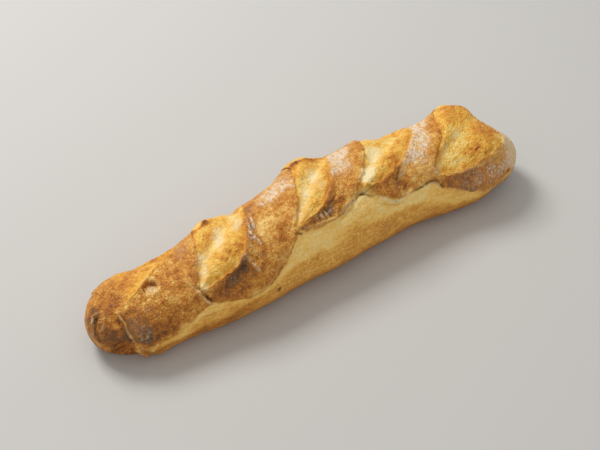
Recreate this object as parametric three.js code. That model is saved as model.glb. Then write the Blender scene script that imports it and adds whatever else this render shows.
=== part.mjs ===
// A short hand-shaped baguette: one closed, uncut loaf lying on its flat base.
//
// The crust was slashed five times across the crown. Each slash opened into a pale
// bulge; the crust on its near side stands up as an ear over a deep crease, and the
// crust on its far side ends in a low lip. Under the crust runs the smooth belt that
// spread while the loaf baked. Everything is worked out from the sizes below.
//
// Millimetres and degrees. +X runs along the loaf to its far end, +Z is up. "Along" is
// measured in X from the loaf's third slash; "around" is the angle about the loaf's
// axis, 0 at the crown, negative towards the front (-Y) and +-180 under the base.

import * as THREE from 'three';

// ---- Overall size -------------------------------------------------------------------
const NEAR_END = -160;
const FAR_END = 168;
const HALF_WIDTHS = [27.0, 27.8, 29.2, 32.4, 33.8, 36.2, 35.8, 34.2, 33.4, 34.4, 31.0];
const SPINE = [0.5, -2.9, -1.8, 4.2, 7.6, 5.6, -2.0]; // sideways bend, end to end
const HEIGHT_TO_WIDTH = 0.78;
const WAIST = 0.43; // height of the widest line, as a share of the loaf's height
const BASE_CUT = 2.4; // how much of the round underside the flat base takes off
const NEAR_CAP = { length: 35, plan: 2.0, side: 2.3 };
const FAR_CAP = { length: 48, plan: 2.1, side: 2.1 };
const FLANK_POWER = { crown: 0.91, under: 0.77, belly: 0.714 };

// ---- The five slashes ---------------------------------------------------------------
// Outline: the near rim crosses the crown at `crown` and leans by `lean` mm a degree
// (plus `bend`); `front` and `back` are the angles where the slash ends, `width` its
// widest opening, `taper` how much it narrows backwards, `blunt` the roundness of its
// ends and `bias` the share of its width on the near side of the leaning line.
// Relief: height of the `ear`, of the `near` and `far` banks of the bulge, depth of the
// crease between them at its front and back, its `course` across the slash from front
// to back, the far `lip`, and `soft`, half the width of the step at the rim.
const SLASHES = [
  {
    crown: -147, lean: 0, bend: 0, front: -25, back: 88, width: 57, taper: 0,
    blunt: 1.1, bias: 0, ear: 0.4, near: 1.0, far: 1.6, crease: [0.6, 2.0],
    course: [0.9, 0.97], lip: 0.7, soft: 3.0,
  },
  {
    crown: -84.5, lean: 0.25, bend: 0, front: -41, back: 78, width: 37, taper: 0,
    blunt: 3.0, bias: 0, ear: 3.2, near: 5.6, far: 1.8, crease: [1.4, 2.8],
    course: [0.05, 0.92], lip: 1.6, soft: 0.7,
  },
  {
    crown: -7, lean: 0.383, bend: -0.0033, front: -31, back: 80, width: 28, taper: 0,
    blunt: 3.0, bias: 0, ear: 4.4, near: 7.1, far: 1.1, crease: [1.4, 0.6],
    course: [0.1, 1.25], lip: 1.6, soft: 0.7,
  },
  {
    crown: 47, lean: 0.51, bend: -0.006, front: -35, back: 78, width: 40, taper: 0,
    blunt: 2.3, bias: 0, ear: 3.8, near: 2.4, far: 1.3, crease: [1.4, 4.4],
    course: [0.12, 0.92], lip: 1.2, soft: 0.7,
  },
  {
    crown: 123.5, lean: 0.27, bend: -0.0015, front: -56.5, back: 62, width: 85, taper: 0.51,
    blunt: 1.65, bias: 0.36, ear: 4.2, near: 6.8, far: -0.5, crease: [1.8, 0.4],
    course: [0.05, 0.86], lip: 0.6, soft: 0.7,
  },
];
const EAR_RAMP = 22; // how far back from its edge a raised ear starts to rise
const EAR_OVERHANG = 1.3;
const EAR_OVERHANG_REACH = 5;
const EAR_FRONT_SHARE = 0.12; // height of an ear at the slash's front, of its full one
const LIP_REACH = 4.5;
// Where a slash's parts start and stop, as shares of its length from front to back.
const RUN = {
  start: [-0.02, 0.12],
  end: [0.8, 1.02],
  pinch: [0.12, 0.45],
  rise: [0.1, 0.72],
  crossing: [0.12, 0.72],
  deepening: [0.2, 0.8],
  ear: [0.05, 0.72],
  lipStart: [-0.15, 0.02],
  lipEnd: [0.3, 0.9],
};
// Profile of a bulge's two banks, as shares of their own widths and heights.
const NEAR_BANK = { shoulder: 0.72, crest: 0.3, foot: 0.2 };
const FAR_BANK = { foot: 0.8, backLoss: 0.6, rounding: 0.5 };

// ---- Crust and belt -----------------------------------------------------------------
const CRUST_STEP = 1.2; // the crust stands this proud of the smooth belt
const CRUST_STEP_SOFT = 0.9;
const CRUST_STEP_BACK = 30; // the belt shows on the front only, up to this angle
// The lower edge of the crust on the front: notches where the belt reaches up between
// two straps, each with the depth in degrees by which the crust hangs down before the
// next one.
const BELT_NOTCHES = [
  { along: -152, around: -84, hang: 14 },
  { along: -90, around: -62, hang: 30 },
  { along: -20, around: -36, hang: 13 },
  { along: 33, around: -30, hang: 17 },
  { along: 80, around: -50, hang: 4 },
  { along: 126, around: -94, hang: 0 },
];
const BELT_FADE = { near: [-150, -120], far: [112, 140] };
// Towards the near end the crust runs out over the belt softly, with a lower step.
const CRUST_RUN_OUT = { along: [-112, -92], soft: 5, step: 0.4 };

// ---- Marks of shaping ---------------------------------------------------------------
// The near end was rolled under: a fold runs down its front and leaves a small knob.
const FOLD = {
  route: [[-146, -15], [-143.5, -40], [-142, -60], [-140, -78], [-136, -92], [-128, -135]],
  depth: 2.2,
  reach: 3,
  fromFront: [-45, -12],
  fromBase: [-150, -135],
};
const KNOB = { recess: 8.6, along: [-148, -139], lean: 0.18, around: [-95, -55], tip: [3, 14] };
// Broad swellings, and hollows where the height is negative.
const SWELLINGS = {
  nearHeel: { along: -131, around: -125, spread: [13, 32], height: 2.4 },
  nearShoulder: { along: -128, around: 42, spread: [12, 30], height: 1.0 },
  farHeel: { along: 108, around: -118, spread: [22, 36], height: 2.2 },
  farShoulder: { along: 139, around: 22, spread: [8, 16], height: 3.4 },
  farFace: { along: 154, around: 32, spread: [13, 42], height: -5.0 },
  farUnderside: { along: 138, around: -132, spread: [12, 34], height: -5.5 },
};
const BURST_BUBBLE = { along: -119.2, around: -9, size: [5.2, 6.6], wall: [0.5, 1.15], depth: 2.6 };
const TEAR = { route: [[12, -45], [22, -38], [32, -31.5], [37, -36]], depth: 2.4, reach: 2.2 };
// Slow waves that keep the rolled dough from being even.
const WAVES = [
  { height: 0.45, along: 9.1, lean: 0, start: 1.3, around: 23, twist: 31, aroundStart: 0 },
  { height: 0.4, along: 15.7, lean: 40, start: -0.4, around: 31, twist: 0, aroundStart: 2.37 },
];
const BASE_FADE = [125, 150]; // angles over which the relief fades into the flat base
const TIP_FADE = 14;

// ---- Mesh ---------------------------------------------------------------------------
const MM_PER_DEGREE = 0.58; // mean arc length of a degree around the loaf
const RINGS = { cap: 7, farCap: 9, insides: [9, 9, 7, 8, 11], straps: [15, 10, 6, 7], wall: 1 };
const WALL_HALF_WIDTH = 0.6;
const NARROWEST_LANE = 0.3; // share of a slash's width that its lane keeps beyond its ends
const ROWS_UPPER = 36; // rows over the crown, from UPPER_FRONT to UPPER_BACK
const ROWS_UNDER = 15;
const UPPER_FRONT = -105;
const UPPER_BACK = 95;
const RIM_STEPS = 40;
const SLOPE_STEP = 0.2;
const LANE_RUN_ON = 10; // degrees that a slash's lane keeps its lean beyond its ends
const LANE_STRAIGHTENS = [95, 175];

const clamp = (value, low = 0, high = 1) => Math.min(Math.max(value, low), high);
const mix = (from, to, share) => from + (to - from) * share;
const radians = (degrees) => (degrees * Math.PI) / 180;
const signedPower = (value, power) => Math.sign(value) * Math.abs(value) ** power;

function smooth(low, high, value) {
  const t = clamp((value - low) / (high - low));
  return t * t * (3 - 2 * t);
}

// A soft bell: 1 at the centre, fading with distance.
const bell = (distance) => Math.exp(-(distance ** 2));

// A rounded end: 0 at its tip, 1 from `share` = 1 on.
function roundEnd(share, power) {
  return (1 - (1 - clamp(share)) ** power) ** (1 / power);
}

// A smooth curve through evenly spaced values.
function through(values, share) {
  const last = values.length - 1;
  const place = clamp(share) * last;
  const index = Math.min(Math.floor(place), last - 1);
  const f = place - index;
  const b = values[index];
  const c = values[index + 1];
  const a = index === 0 ? 2 * b - c : values[index - 1];
  const d = index === last - 1 ? 2 * c - b : values[index + 2];
  return b + 0.5 * f * (c - a + f * (2 * a - 5 * b + 4 * c - d + f * (3 * (b - c) + d - a)));
}

// The loaf without its relief: a rounded section swept along the bent spine.
function corePoint(along, around) {
  const share = (along - NEAR_END) / (FAR_END - NEAR_END);
  const halfWidth = through(HALF_WIDTHS, share);
  const height = 2 * halfWidth * HEIGHT_TO_WIDTH;
  const waist = height * WAIST;
  const nearShare = (along - NEAR_END) / NEAR_CAP.length;
  const farShare = (FAR_END - along) / FAR_CAP.length;
  const plan = roundEnd(nearShare, NEAR_CAP.plan) * roundEnd(farShare, FAR_CAP.plan);
  const side = roundEnd(nearShare, NEAR_CAP.side) * roundEnd(farShare, FAR_CAP.side);
  const sine = Math.sin(radians(around));
  const cosine = Math.cos(radians(around));
  const upper = cosine >= 0;
  const out = signedPower(sine, upper ? FLANK_POWER.crown : FLANK_POWER.under);
  const rise = upper ? (height - waist) * cosine : -waist * (-cosine) ** FLANK_POWER.belly;
  const lifted = Math.max(waist + rise * side - BASE_CUT, 0);
  return new THREE.Vector3(
    along,
    through(SPINE, share) + halfWidth * plan * out,
    (lifted * height) / (height - BASE_CUT),
  );
}

function coreNormal(along, around) {
  const before = Math.max(along - SLOPE_STEP, NEAR_END);
  const after = Math.min(along + SLOPE_STEP, FAR_END);
  const lengthways = corePoint(after, around).sub(corePoint(before, around));
  const sideways = corePoint(along, around + 0.5).sub(corePoint(along, around - 0.5));
  return lengthways.cross(sideways).normalize();
}

// Distance on the unrolled surface from a place to a route of [along, around] points.
function distanceTo(route, along, around) {
  let nearest = Infinity;
  for (let i = 1; i < route.length; i += 1) {
    const [startAlong, startAround] = route[i - 1];
    const runAlong = route[i][0] - startAlong;
    const runAround = (route[i][1] - startAround) * MM_PER_DEGREE;
    const toAlong = along - startAlong;
    const toAround = (around - startAround) * MM_PER_DEGREE;
    const run = runAlong ** 2 + runAround ** 2 || 1;
    const t = clamp((toAlong * runAlong + toAround * runAround) / run);
    nearest = Math.min(nearest, Math.hypot(toAlong - t * runAlong, toAround - t * runAround));
  }
  return nearest;
}

class Slash {
  constructor(sizes) {
    Object.assign(this, sizes);
    this.nearRim = [];
    this.farRim = [];
    for (let i = 0; i <= RIM_STEPS; i += 1) {
      const share = (1 - Math.cos((Math.PI * i) / RIM_STEPS)) / 2;
      const around = mix(this.front, this.back, share);
      const [near, far] = this.edges(around);
      this.nearRim.push([near, around]);
      this.farRim.push([far, around]);
    }
  }

  widthAt(around) {
    const share = clamp((around - this.front) / (this.back - this.front));
    const pinch = 1 - this.taper * smooth(...RUN.pinch, share);
    const oval = 1 - Math.abs(2 * share - 1) ** this.blunt;
    return this.width * pinch * Math.max(oval, 0) ** (1 / this.blunt);
  }

  leaningLine(around) {
    return this.crown + this.lean * around + this.bend * around ** 2;
  }

  edges(around) {
    const line = this.leaningLine(around);
    const width = this.widthAt(around);
    return [line - this.bias * width, line + (1 - this.bias) * width];
  }

  // Height inside the slash, height outside it, how far a place is inside (0 to 1)
  // and how much of the ear is there.
  relief(along, around) {
    const [near, far] = this.edges(around);
    const toNear = distanceTo(this.nearRim, along, around);
    const toFar = distanceTo(this.farRim, along, around);
    const share = (around - this.front) / (this.back - this.front);
    const isInside = share > 0 && share < 1 && along > near && along < far;
    const fade = smooth(...RUN.start, share) * (1 - smooth(...RUN.end, share));
    const rise = smooth(...RUN.rise, share);
    const across = toNear / Math.max(toNear + toFar, 1e-6);
    const valley = mix(this.course[0], this.course[1], smooth(...RUN.crossing, share));
    const floor = -mix(this.crease[0], this.crease[1], smooth(...RUN.deepening, share));
    let inside;
    if (across < valley) {
      const q = across / valley;
      const crest = mix(NEAR_BANK.shoulder, 1, smooth(0, NEAR_BANK.crest, q));
      const bank = this.near * (1 - smooth(NEAR_BANK.foot, 1, q)) * crest;
      inside = mix(floor, floor * smooth(0, 1, q) + bank, rise);
    } else {
      const p = (across - valley) / (1 - valley);
      const swell = Math.sin(Math.PI * p) * smooth(0, FAR_BANK.rounding, p);
      const bank = this.far * (1 - FAR_BANK.backLoss * rise) * swell;
      inside = floor * (1 - smooth(0, FAR_BANK.foot, p)) + bank;
    }
    const earShare = mix(EAR_FRONT_SHARE, 1, smooth(...RUN.ear, share)) * fade;
    const onNearSide = share > 0 && along < (near + far) / 2;
    const lipShare = smooth(...RUN.lipStart, share) * (1 - smooth(...RUN.lipEnd, share));
    const outside = onNearSide
      ? this.ear * earShare * clamp(1 - toNear / EAR_RAMP) ** 2
      : this.lip * lipShare * bell(toFar / LIP_REACH);
    const depthIn = Math.min(toNear, toFar) * (isInside ? 1 : -1);
    const overhang = onNearSide && !isInside
      ? earShare * clamp(1 - toNear / EAR_OVERHANG_REACH)
      : 0;
    return {
      inside: inside * fade,
      outside,
      within: smooth(-this.soft, this.soft, depthIn),
      overhang,
    };
  }
}

const slashes = SLASHES.map((sizes) => new Slash(sizes));

// The angle of the crust's lower edge on the front.
function beltTop(along) {
  const next = BELT_NOTCHES.findIndex((notch) => notch.along > along);
  if (next < 0) return BELT_NOTCHES[BELT_NOTCHES.length - 1].around;
  if (next === 0) return BELT_NOTCHES[0].around;
  const from = BELT_NOTCHES[next - 1];
  const to = BELT_NOTCHES[next];
  const share = (along - from.along) / (to.along - from.along);
  return mix(from.around, to.around, share) - from.hang * Math.sin(Math.PI * share);
}

function slashRelief(along, around) {
  let height = 0;
  let outside = 0;
  let uncut = 1;
  let overhang = 0;
  for (const slash of slashes) {
    const part = slash.relief(along, around);
    height += part.within * part.inside;
    outside += part.outside;
    uncut *= 1 - part.within;
    overhang += part.overhang;
  }
  return { height: height + uncut * outside, overhang: overhang * EAR_OVERHANG };
}

function crustStep(along, around) {
  const crisp = smooth(...CRUST_RUN_OUT.along, along);
  const soft = mix(CRUST_RUN_OUT.soft, CRUST_STEP_SOFT, crisp);
  const onCrust = smooth(-soft, soft, (around - beltTop(along)) * MM_PER_DEGREE);
  const span = smooth(...BELT_FADE.near, along) * (1 - smooth(...BELT_FADE.far, along));
  const step = CRUST_STEP * mix(CRUST_RUN_OUT.step, 1, crisp);
  return around < CRUST_STEP_BACK ? step * (onCrust - 1) * span : 0;
}

function nearEndRelief(along, around) {
  const front = (1 - smooth(...FOLD.fromFront, around)) * smooth(...FOLD.fromBase, around);
  const fold = -FOLD.depth * front * bell(distanceTo(FOLD.route, along, around) / FOLD.reach);
  const beforeFold = 1 - smooth(...KNOB.along, along + KNOB.lean * (around + 90));
  const low = 1 - smooth(...KNOB.around, around);
  const clearOfTip = smooth(...KNOB.tip, along - NEAR_END);
  return fold - KNOB.recess * beforeFold * low * clearOfTip;
}

function swellings(along, around) {
  let height = 0;
  for (const swelling of Object.values(SWELLINGS)) {
    const distance = Math.hypot(
      (along - swelling.along) / swelling.spread[0],
      (around - swelling.around) / swelling.spread[1],
    );
    height += swelling.height * bell(distance);
  }
  return height;
}

function bubbleRelief(along, around) {
  const distance = Math.hypot(
    (along - BURST_BUBBLE.along) / BURST_BUBBLE.size[0],
    ((around - BURST_BUBBLE.around) * MM_PER_DEGREE) / BURST_BUBBLE.size[1],
  );
  return -BURST_BUBBLE.depth * (1 - smooth(...BURST_BUBBLE.wall, distance));
}

function waves(along, around) {
  let height = 0;
  for (const wave of WAVES) {
    const lean = wave.lean ? around / wave.lean : 0;
    const twist = wave.twist ? along / wave.twist : 0;
    height +=
      wave.height *
      Math.sin(along / wave.along + wave.start + lean) *
      Math.sin(around / wave.around + wave.aroundStart + twist);
  }
  return height;
}

function surfacePoint(along, around) {
  const cut = slashRelief(along, around);
  const tear = -TEAR.depth * bell(distanceTo(TEAR.route, along, around) / TEAR.reach);
  const height =
    cut.height +
    tear +
    crustStep(along, around) +
    nearEndRelief(along, around) +
    swellings(along, around) +
    bubbleRelief(along, around) +
    waves(along, around);
  const clearOfBase = 1 - smooth(...BASE_FADE, Math.abs(around));
  const tipFade = Math.min(
    roundEnd((along - NEAR_END) / TIP_FADE, 2),
    roundEnd((FAR_END - along) / TIP_FADE, 2),
  );
  const point = corePoint(along, around);
  point.addScaledVector(coreNormal(along, around), height * clearOfBase * tipFade);
  point.x += cut.overhang;
  point.z = Math.max(point.z, 0);
  return point;
}

// Where a ring of the mesh that follows a slash's rim crosses a given row. Beyond the
// slash's two ends the pair of rims runs on as a narrow lane and straightens under the
// loaf, so that the last row meets the first.
function lanePair(slash, around) {
  const held = clamp(around, slash.front - LANE_RUN_ON, slash.back + LANE_RUN_ON);
  const straight = smooth(...LANE_STRAIGHTENS, Math.abs(around));
  const line = mix(slash.leaningLine(held), slash.crown, straight);
  const width = Math.max(slash.widthAt(around), slash.width * NARROWEST_LANE);
  const near = line - slash.bias * width;
  return [near, near + width];
}

// The X of every ring on one row, from the near tip to the far tip.
function ringPlaces(around) {
  const stops = [];
  const lanes = [];
  slashes.forEach((slash, index) => {
    const [near, far] = lanePair(slash, around);
    stops.push(near - WALL_HALF_WIDTH, near + WALL_HALF_WIDTH);
    stops.push(far - WALL_HALF_WIDTH, far + WALL_HALF_WIDTH);
    lanes.push(RINGS.wall, RINGS.insides[index], RINGS.wall);
    if (index < RINGS.straps.length) lanes.push(RINGS.straps[index]);
  });
  const places = [];
  const firstStop = stops[0];
  for (let i = 1; i < RINGS.cap; i += 1) {
    const share = 1 - Math.cos((Math.PI / 2) * (i / RINGS.cap));
    places.push(mix(NEAR_END, firstStop, share));
  }
  lanes.forEach((count, lane) => {
    for (let i = 0; i < count; i += 1) places.push(mix(stops[lane], stops[lane + 1], i / count));
  });
  const lastStop = stops[stops.length - 1];
  for (let i = 0; i < RINGS.farCap; i += 1) {
    const share = Math.sin((Math.PI / 2) * (i / RINGS.farCap));
    places.push(mix(lastStop, FAR_END, share));
  }
  return places;
}

function rowAngles() {
  const angles = [];
  for (let i = 0; i < ROWS_UPPER; i += 1) {
    angles.push(mix(UPPER_FRONT, UPPER_BACK, i / ROWS_UPPER));
  }
  for (let i = 0; i < ROWS_UNDER; i += 1) {
    const angle = mix(UPPER_BACK, UPPER_FRONT + 360, i / ROWS_UNDER);
    angles.push(angle > 180 ? angle - 360 : angle);
  }
  return angles;
}

function loafGeometry() {
  const positions = [];
  const faces = [];
  const rows = rowAngles();
  const ringCount = ringPlaces(0).length;
  for (const around of rows) {
    for (const along of ringPlaces(around)) {
      positions.push(...surfacePoint(along, around).toArray());
    }
  }
  const at = (row, ring) => (row % rows.length) * ringCount + ring;
  const nearTip = rows.length * ringCount;
  const farTip = nearTip + 1;
  positions.push(...corePoint(NEAR_END, 0).toArray(), ...corePoint(FAR_END, 0).toArray());
  for (let row = 0; row < rows.length; row += 1) {
    for (let ring = 0; ring + 1 < ringCount; ring += 1) {
      const corner = at(row, ring);
      const ahead = at(row, ring + 1);
      const beside = at(row + 1, ring);
      const opposite = at(row + 1, ring + 1);
      faces.push(corner, ahead, opposite, corner, opposite, beside);
    }
    faces.push(nearTip, at(row, 0), at(row + 1, 0));
    faces.push(farTip, at(row + 1, ringCount - 1), at(row, ringCount - 1));
  }
  const geometry = new THREE.BufferGeometry();
  geometry.setAttribute('position', new THREE.Float32BufferAttribute(positions, 3));
  geometry.setIndex(faces);
  geometry.computeBoundingBox();
  const { min, max } = geometry.boundingBox;
  geometry.translate(-(min.x + max.x) / 2, -(min.y + max.y) / 2, -min.z);
  geometry.computeVertexNormals();
  return geometry;
}

const crust = new THREE.MeshStandardMaterial({ color: 0xc98b4a, roughness: 0.72, metalness: 0 });
crust.name = 'baked_crust';

const loaf = new THREE.Mesh(loafGeometry(), crust);
loaf.name = 'loaf';

const baguette = new THREE.Group();
baguette.add(loaf);

export default baguette;
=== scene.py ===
"""A short hand-shaped baguette on a pale floor, dressed from its solid.

The loaf is one closed mesh, finer than the solid it replaces but of the same form: a
rounded section swept along a bent spine, with five slashes that opened into golden
bulges, raised ears, a torn crust edge, a smooth pale belt and a flat base.

Sizes of the loaf are in millimetres and degrees, as a baker would measure them; the
meshes are in metres. "Along" runs in X from the third slash, "around" is the angle
about the loaf's axis: 0 at the crown, negative to the front and +-180 under the base.
"""

import logging
import math
from dataclasses import dataclass, field
from typing import Iterable, Sequence, Union

import bpy
import numpy as np
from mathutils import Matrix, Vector


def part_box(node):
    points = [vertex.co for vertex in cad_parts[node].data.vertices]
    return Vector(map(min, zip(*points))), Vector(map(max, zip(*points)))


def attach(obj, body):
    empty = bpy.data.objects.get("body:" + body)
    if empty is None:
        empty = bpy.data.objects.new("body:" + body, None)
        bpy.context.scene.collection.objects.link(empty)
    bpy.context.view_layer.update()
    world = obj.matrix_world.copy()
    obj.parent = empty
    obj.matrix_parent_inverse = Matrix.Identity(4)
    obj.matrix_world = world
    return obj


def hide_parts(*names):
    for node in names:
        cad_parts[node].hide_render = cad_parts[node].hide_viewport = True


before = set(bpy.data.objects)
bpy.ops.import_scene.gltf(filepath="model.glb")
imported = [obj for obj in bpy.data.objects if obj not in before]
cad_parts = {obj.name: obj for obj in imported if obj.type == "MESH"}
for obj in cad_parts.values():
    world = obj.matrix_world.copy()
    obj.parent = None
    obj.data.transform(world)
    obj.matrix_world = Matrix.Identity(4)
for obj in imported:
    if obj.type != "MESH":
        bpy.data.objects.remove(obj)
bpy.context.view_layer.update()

log = logging.getLogger("baguette")

Field = np.ndarray
Pair = tuple[float, float]
Triple = tuple[float, float, float]
Route = Sequence[Pair]
Colour = Triple

METRES = 0.001  # one millimetre
MM_PER_DEGREE = 0.58  # mean arc length of a degree around the loaf
HALF_TURN = 180.0
FULL_TURN = 360.0
TINY = 1e-9  # the least divisor, where a length can be nothing
SLIVER = 0.001  # the narrowest bank of a slash, as a share of its width


# ---- Curves and fields over the crust --------------------------------------------------


def smooth(low: float, high: float, value: Field) -> Field:
    """A soft step from 0 at low to 1 at high."""
    share = np.clip((value - low) / (high - low), 0.0, 1.0)
    return share * share * (3.0 - 2.0 * share)


def bell(distance: Field) -> Field:
    """A soft bell: 1 at the centre, fading with distance."""
    return np.exp(-(distance**2))


def blend(start: Field, end: Field, share: Field) -> Field:
    """The value that lies a share of the way from start to end."""
    return start + (end - start) * share


def round_end(share: Field, power: float) -> Field:
    """A rounded end: 0 at its tip and 1 from a share of 1 on."""
    return (1.0 - (1.0 - np.clip(share, 0.0, 1.0)) ** power) ** (1.0 / power)


def signed_power(value: Field, power: float) -> Field:
    """The value's size raised to a power, with its sign kept."""
    return np.sign(value) * np.abs(value) ** power


def through(values: Sequence[float], share: Field) -> Field:
    """A smooth curve through evenly spaced values.

    Args:
        values: The values, from share 0 to share 1.
        share: Where to read the curve.

    Returns:
        The curve's value at each share.
    """
    marks = np.asarray(values, dtype=float)
    last = len(marks) - 1
    place = np.clip(share, 0.0, 1.0) * last
    index = np.minimum(place.astype(int), last - 1)
    f = place - index
    b, c = marks[index], marks[index + 1]
    a = np.where(index == 0, 2.0 * b - c, marks[np.maximum(index - 1, 0)])
    d = np.where(index == last - 1, 2.0 * c - b, marks[np.minimum(index + 2, last)])
    return b + 0.5 * f * (c - a + f * (2 * a - 5 * b + 4 * c - d + f * (3 * (b - c) + d - a)))


def distance_to(route: Route, along: Field, around: Field) -> Field:
    """Distance on the unrolled crust to a route.

    Args:
        route: The route's (along, around) points.
        along: Places along the loaf.
        around: Angles of those places.

    Returns:
        The distance in millimetres at each place.
    """
    nearest = np.full(np.shape(along), np.inf)
    for (from_along, from_around), (to_along, to_around) in zip(route[:-1], route[1:]):
        run_x = to_along - from_along
        run_y = (to_around - from_around) * MM_PER_DEGREE
        x = along - from_along
        y = (around - from_around) * MM_PER_DEGREE
        run = run_x**2 + run_y**2 or 1.0
        share = np.clip((x * run_x + y * run_y) / run, 0.0, 1.0)
        nearest = np.minimum(nearest, (x - share * run_x) ** 2 + (y - share * run_y) ** 2)
    return np.sqrt(nearest)


@dataclass(frozen=True)
class Layer:
    """A layer of noise: its strength, lump size, offset in the noise and octaves."""

    strength: float
    size: Union[float, Triple]
    offset: float = 0.0
    octaves: int = 1


Layers = tuple[Layer, ...]


class Grain:
    """Seeded, seamless noise in space, for the uneven dough."""

    SIDE = 64  # points along each edge of the lattice
    START = 17.3  # where the reading starts, clear of the lattice's corner
    NEXT = 5.1  # how much further on each finer layer is read

    def __init__(self, seed: int) -> None:
        """Draws the noise's lattice.

        Args:
            seed: Seed of the random draw.
        """
        draw = np.random.default_rng(seed)
        self.lattice = draw.uniform(-1.0, 1.0, (self.SIDE,) * 3)

    def at(self, places: Field, size: Union[float, Sequence[float]], octaves: int = 1) -> Field:
        """Reads the noise.

        Args:
            places: Points in millimetres, with the three axes last.
            size: Size of a lump in millimetres, or one size for each axis.
            octaves: How many finer layers are added, each at half size and strength.

        Returns:
            Values of about -1 to 1.
        """
        total = np.zeros(places.shape[:-1])
        strength = 1.0
        scaled = places / np.asarray(size, dtype=float) + self.START
        for _ in range(octaves):
            total += strength * self._layer(scaled)
            scaled = scaled * 2.0 + self.NEXT
            strength *= 0.5
        return total

    def summed(self, places: Field, layers: Layers) -> Field:
        """The sum of several layers of the noise."""
        result = np.zeros(places.shape[:-1])
        for layer in layers:
            result += layer.strength * self.at(places + layer.offset, layer.size, layer.octaves)
        return result

    def _layer(self, scaled: Field) -> Field:
        """One layer of the noise, smoothly interpolated in its lattice."""
        base = np.floor(scaled).astype(int)
        f = scaled - base
        f = f * f * (3.0 - 2.0 * f)
        total = np.zeros(scaled.shape[:-1])
        for corner in np.ndindex(2, 2, 2):
            index = (base + np.array(corner)) % self.SIDE
            weight = np.prod(np.where(np.array(corner) == 1, f, 1.0 - f), axis=-1)
            total += weight * self.lattice[index[..., 0], index[..., 1], index[..., 2]]
        return total


# ---- The loaf's form -------------------------------------------------------------------


@dataclass(frozen=True)
class RoundEnd:
    """How one end of the loaf rounds off, in plan and from the side."""

    length: float
    plan: float
    side: float


@dataclass(frozen=True)
class LoafForm:
    """The loaf without its relief: a rounded section swept along the bent spine."""

    near_end: float = -160.0
    far_end: float = 168.0
    half_widths: tuple[float, ...] = (
        27.0, 27.8, 29.2, 32.4, 33.8, 36.2, 35.8, 34.2, 33.4, 34.4, 31.0,
    )
    spine: tuple[float, ...] = (0.5, -2.9, -1.8, 4.2, 7.6, 5.6, -2.0)
    height_to_width: float = 0.78
    waist: float = 0.43
    base_cut: float = 2.4
    near_cap: RoundEnd = RoundEnd(35.0, 2.0, 2.3)
    far_cap: RoundEnd = RoundEnd(48.0, 2.1, 2.1)
    crown_power: float = 0.91
    under_power: float = 0.77
    belly_power: float = 0.714
    slope_step: float = 0.2
    turn_step: float = 0.5
    tip_length: float = 14.0
    tip_power: float = 2.0

    def core(self, along: Field, around: Field) -> Field:
        """Points of the smooth loaf, in millimetres, with the axes last."""
        share = (along - self.near_end) / (self.far_end - self.near_end)
        half_width = through(self.half_widths, share)
        height = 2.0 * half_width * self.height_to_width
        waist = height * self.waist
        near = (along - self.near_end) / self.near_cap.length
        far = (self.far_end - along) / self.far_cap.length
        plan = round_end(near, self.near_cap.plan) * round_end(far, self.far_cap.plan)
        side = round_end(near, self.near_cap.side) * round_end(far, self.far_cap.side)
        sine, cosine = np.sin(np.radians(around)), np.cos(np.radians(around))
        upper = cosine >= 0
        out = signed_power(sine, self.crown_power)
        out = np.where(upper, out, signed_power(sine, self.under_power))
        belly = -waist * np.abs(cosine) ** self.belly_power
        rise = np.where(upper, (height - waist) * cosine, belly)
        lifted = np.maximum(waist + rise * side - self.base_cut, 0.0)
        y = through(self.spine, share) + half_width * plan * out
        z = lifted * height / (height - self.base_cut)
        return np.stack([along + 0.0 * y, y, z], axis=-1)

    def normals(self, along: Field, around: Field) -> Field:
        """Outward unit normals of the smooth loaf."""
        before = np.maximum(along - self.slope_step, self.near_end)
        after = np.minimum(along + self.slope_step, self.far_end)
        lengthways = self.core(after, around) - self.core(before, around)
        turned_on = self.core(along, around + self.turn_step)
        sideways = turned_on - self.core(along, around - self.turn_step)
        normal = np.cross(lengthways, sideways)
        return normal / np.maximum(np.linalg.norm(normal, axis=-1, keepdims=True), TINY)

    def tip_fade(self, along: Field) -> Field:
        """1 over the loaf and 0 at its two tips."""
        near = round_end((along - self.near_end) / self.tip_length, self.tip_power)
        far = round_end((self.far_end - along) / self.tip_length, self.tip_power)
        return np.minimum(near, far)


@dataclass
class SlashFields:
    """What one slash does at each place of the crust."""

    inside: Field
    outside: Field
    within: Field
    overhang: Field
    to_near: Field
    to_far: Field
    share: Field
    across: Field
    valley: Field


@dataclass(frozen=True)
class SlashRun:
    """Where each part starts and is full, from 0 at a slash's front to 1 at its back."""

    opens: Pair = (-0.02, 0.12)
    closes: Pair = (0.8, 1.02)
    narrows: Pair = (0.12, 0.45)
    bulge_rises: Pair = (0.1, 0.72)
    crease_crosses: Pair = (0.12, 0.72)
    crease_deepens: Pair = (0.2, 0.8)
    ear_rises: Pair = (0.05, 0.72)
    lip_starts: Pair = (-0.15, 0.02)
    lip_ends: Pair = (0.3, 0.9)


@dataclass(frozen=True)
class BankForm:
    """The banks of a slash's bulge; places on them are shares of a bank's width."""

    near_rim: float = 0.72
    near_crest: float = 0.3
    near_foot: float = 0.2
    far_foot: float = 0.8
    far_rounding: float = 0.5
    far_back_loss: float = 0.6
    front_ear: float = 0.12


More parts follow.
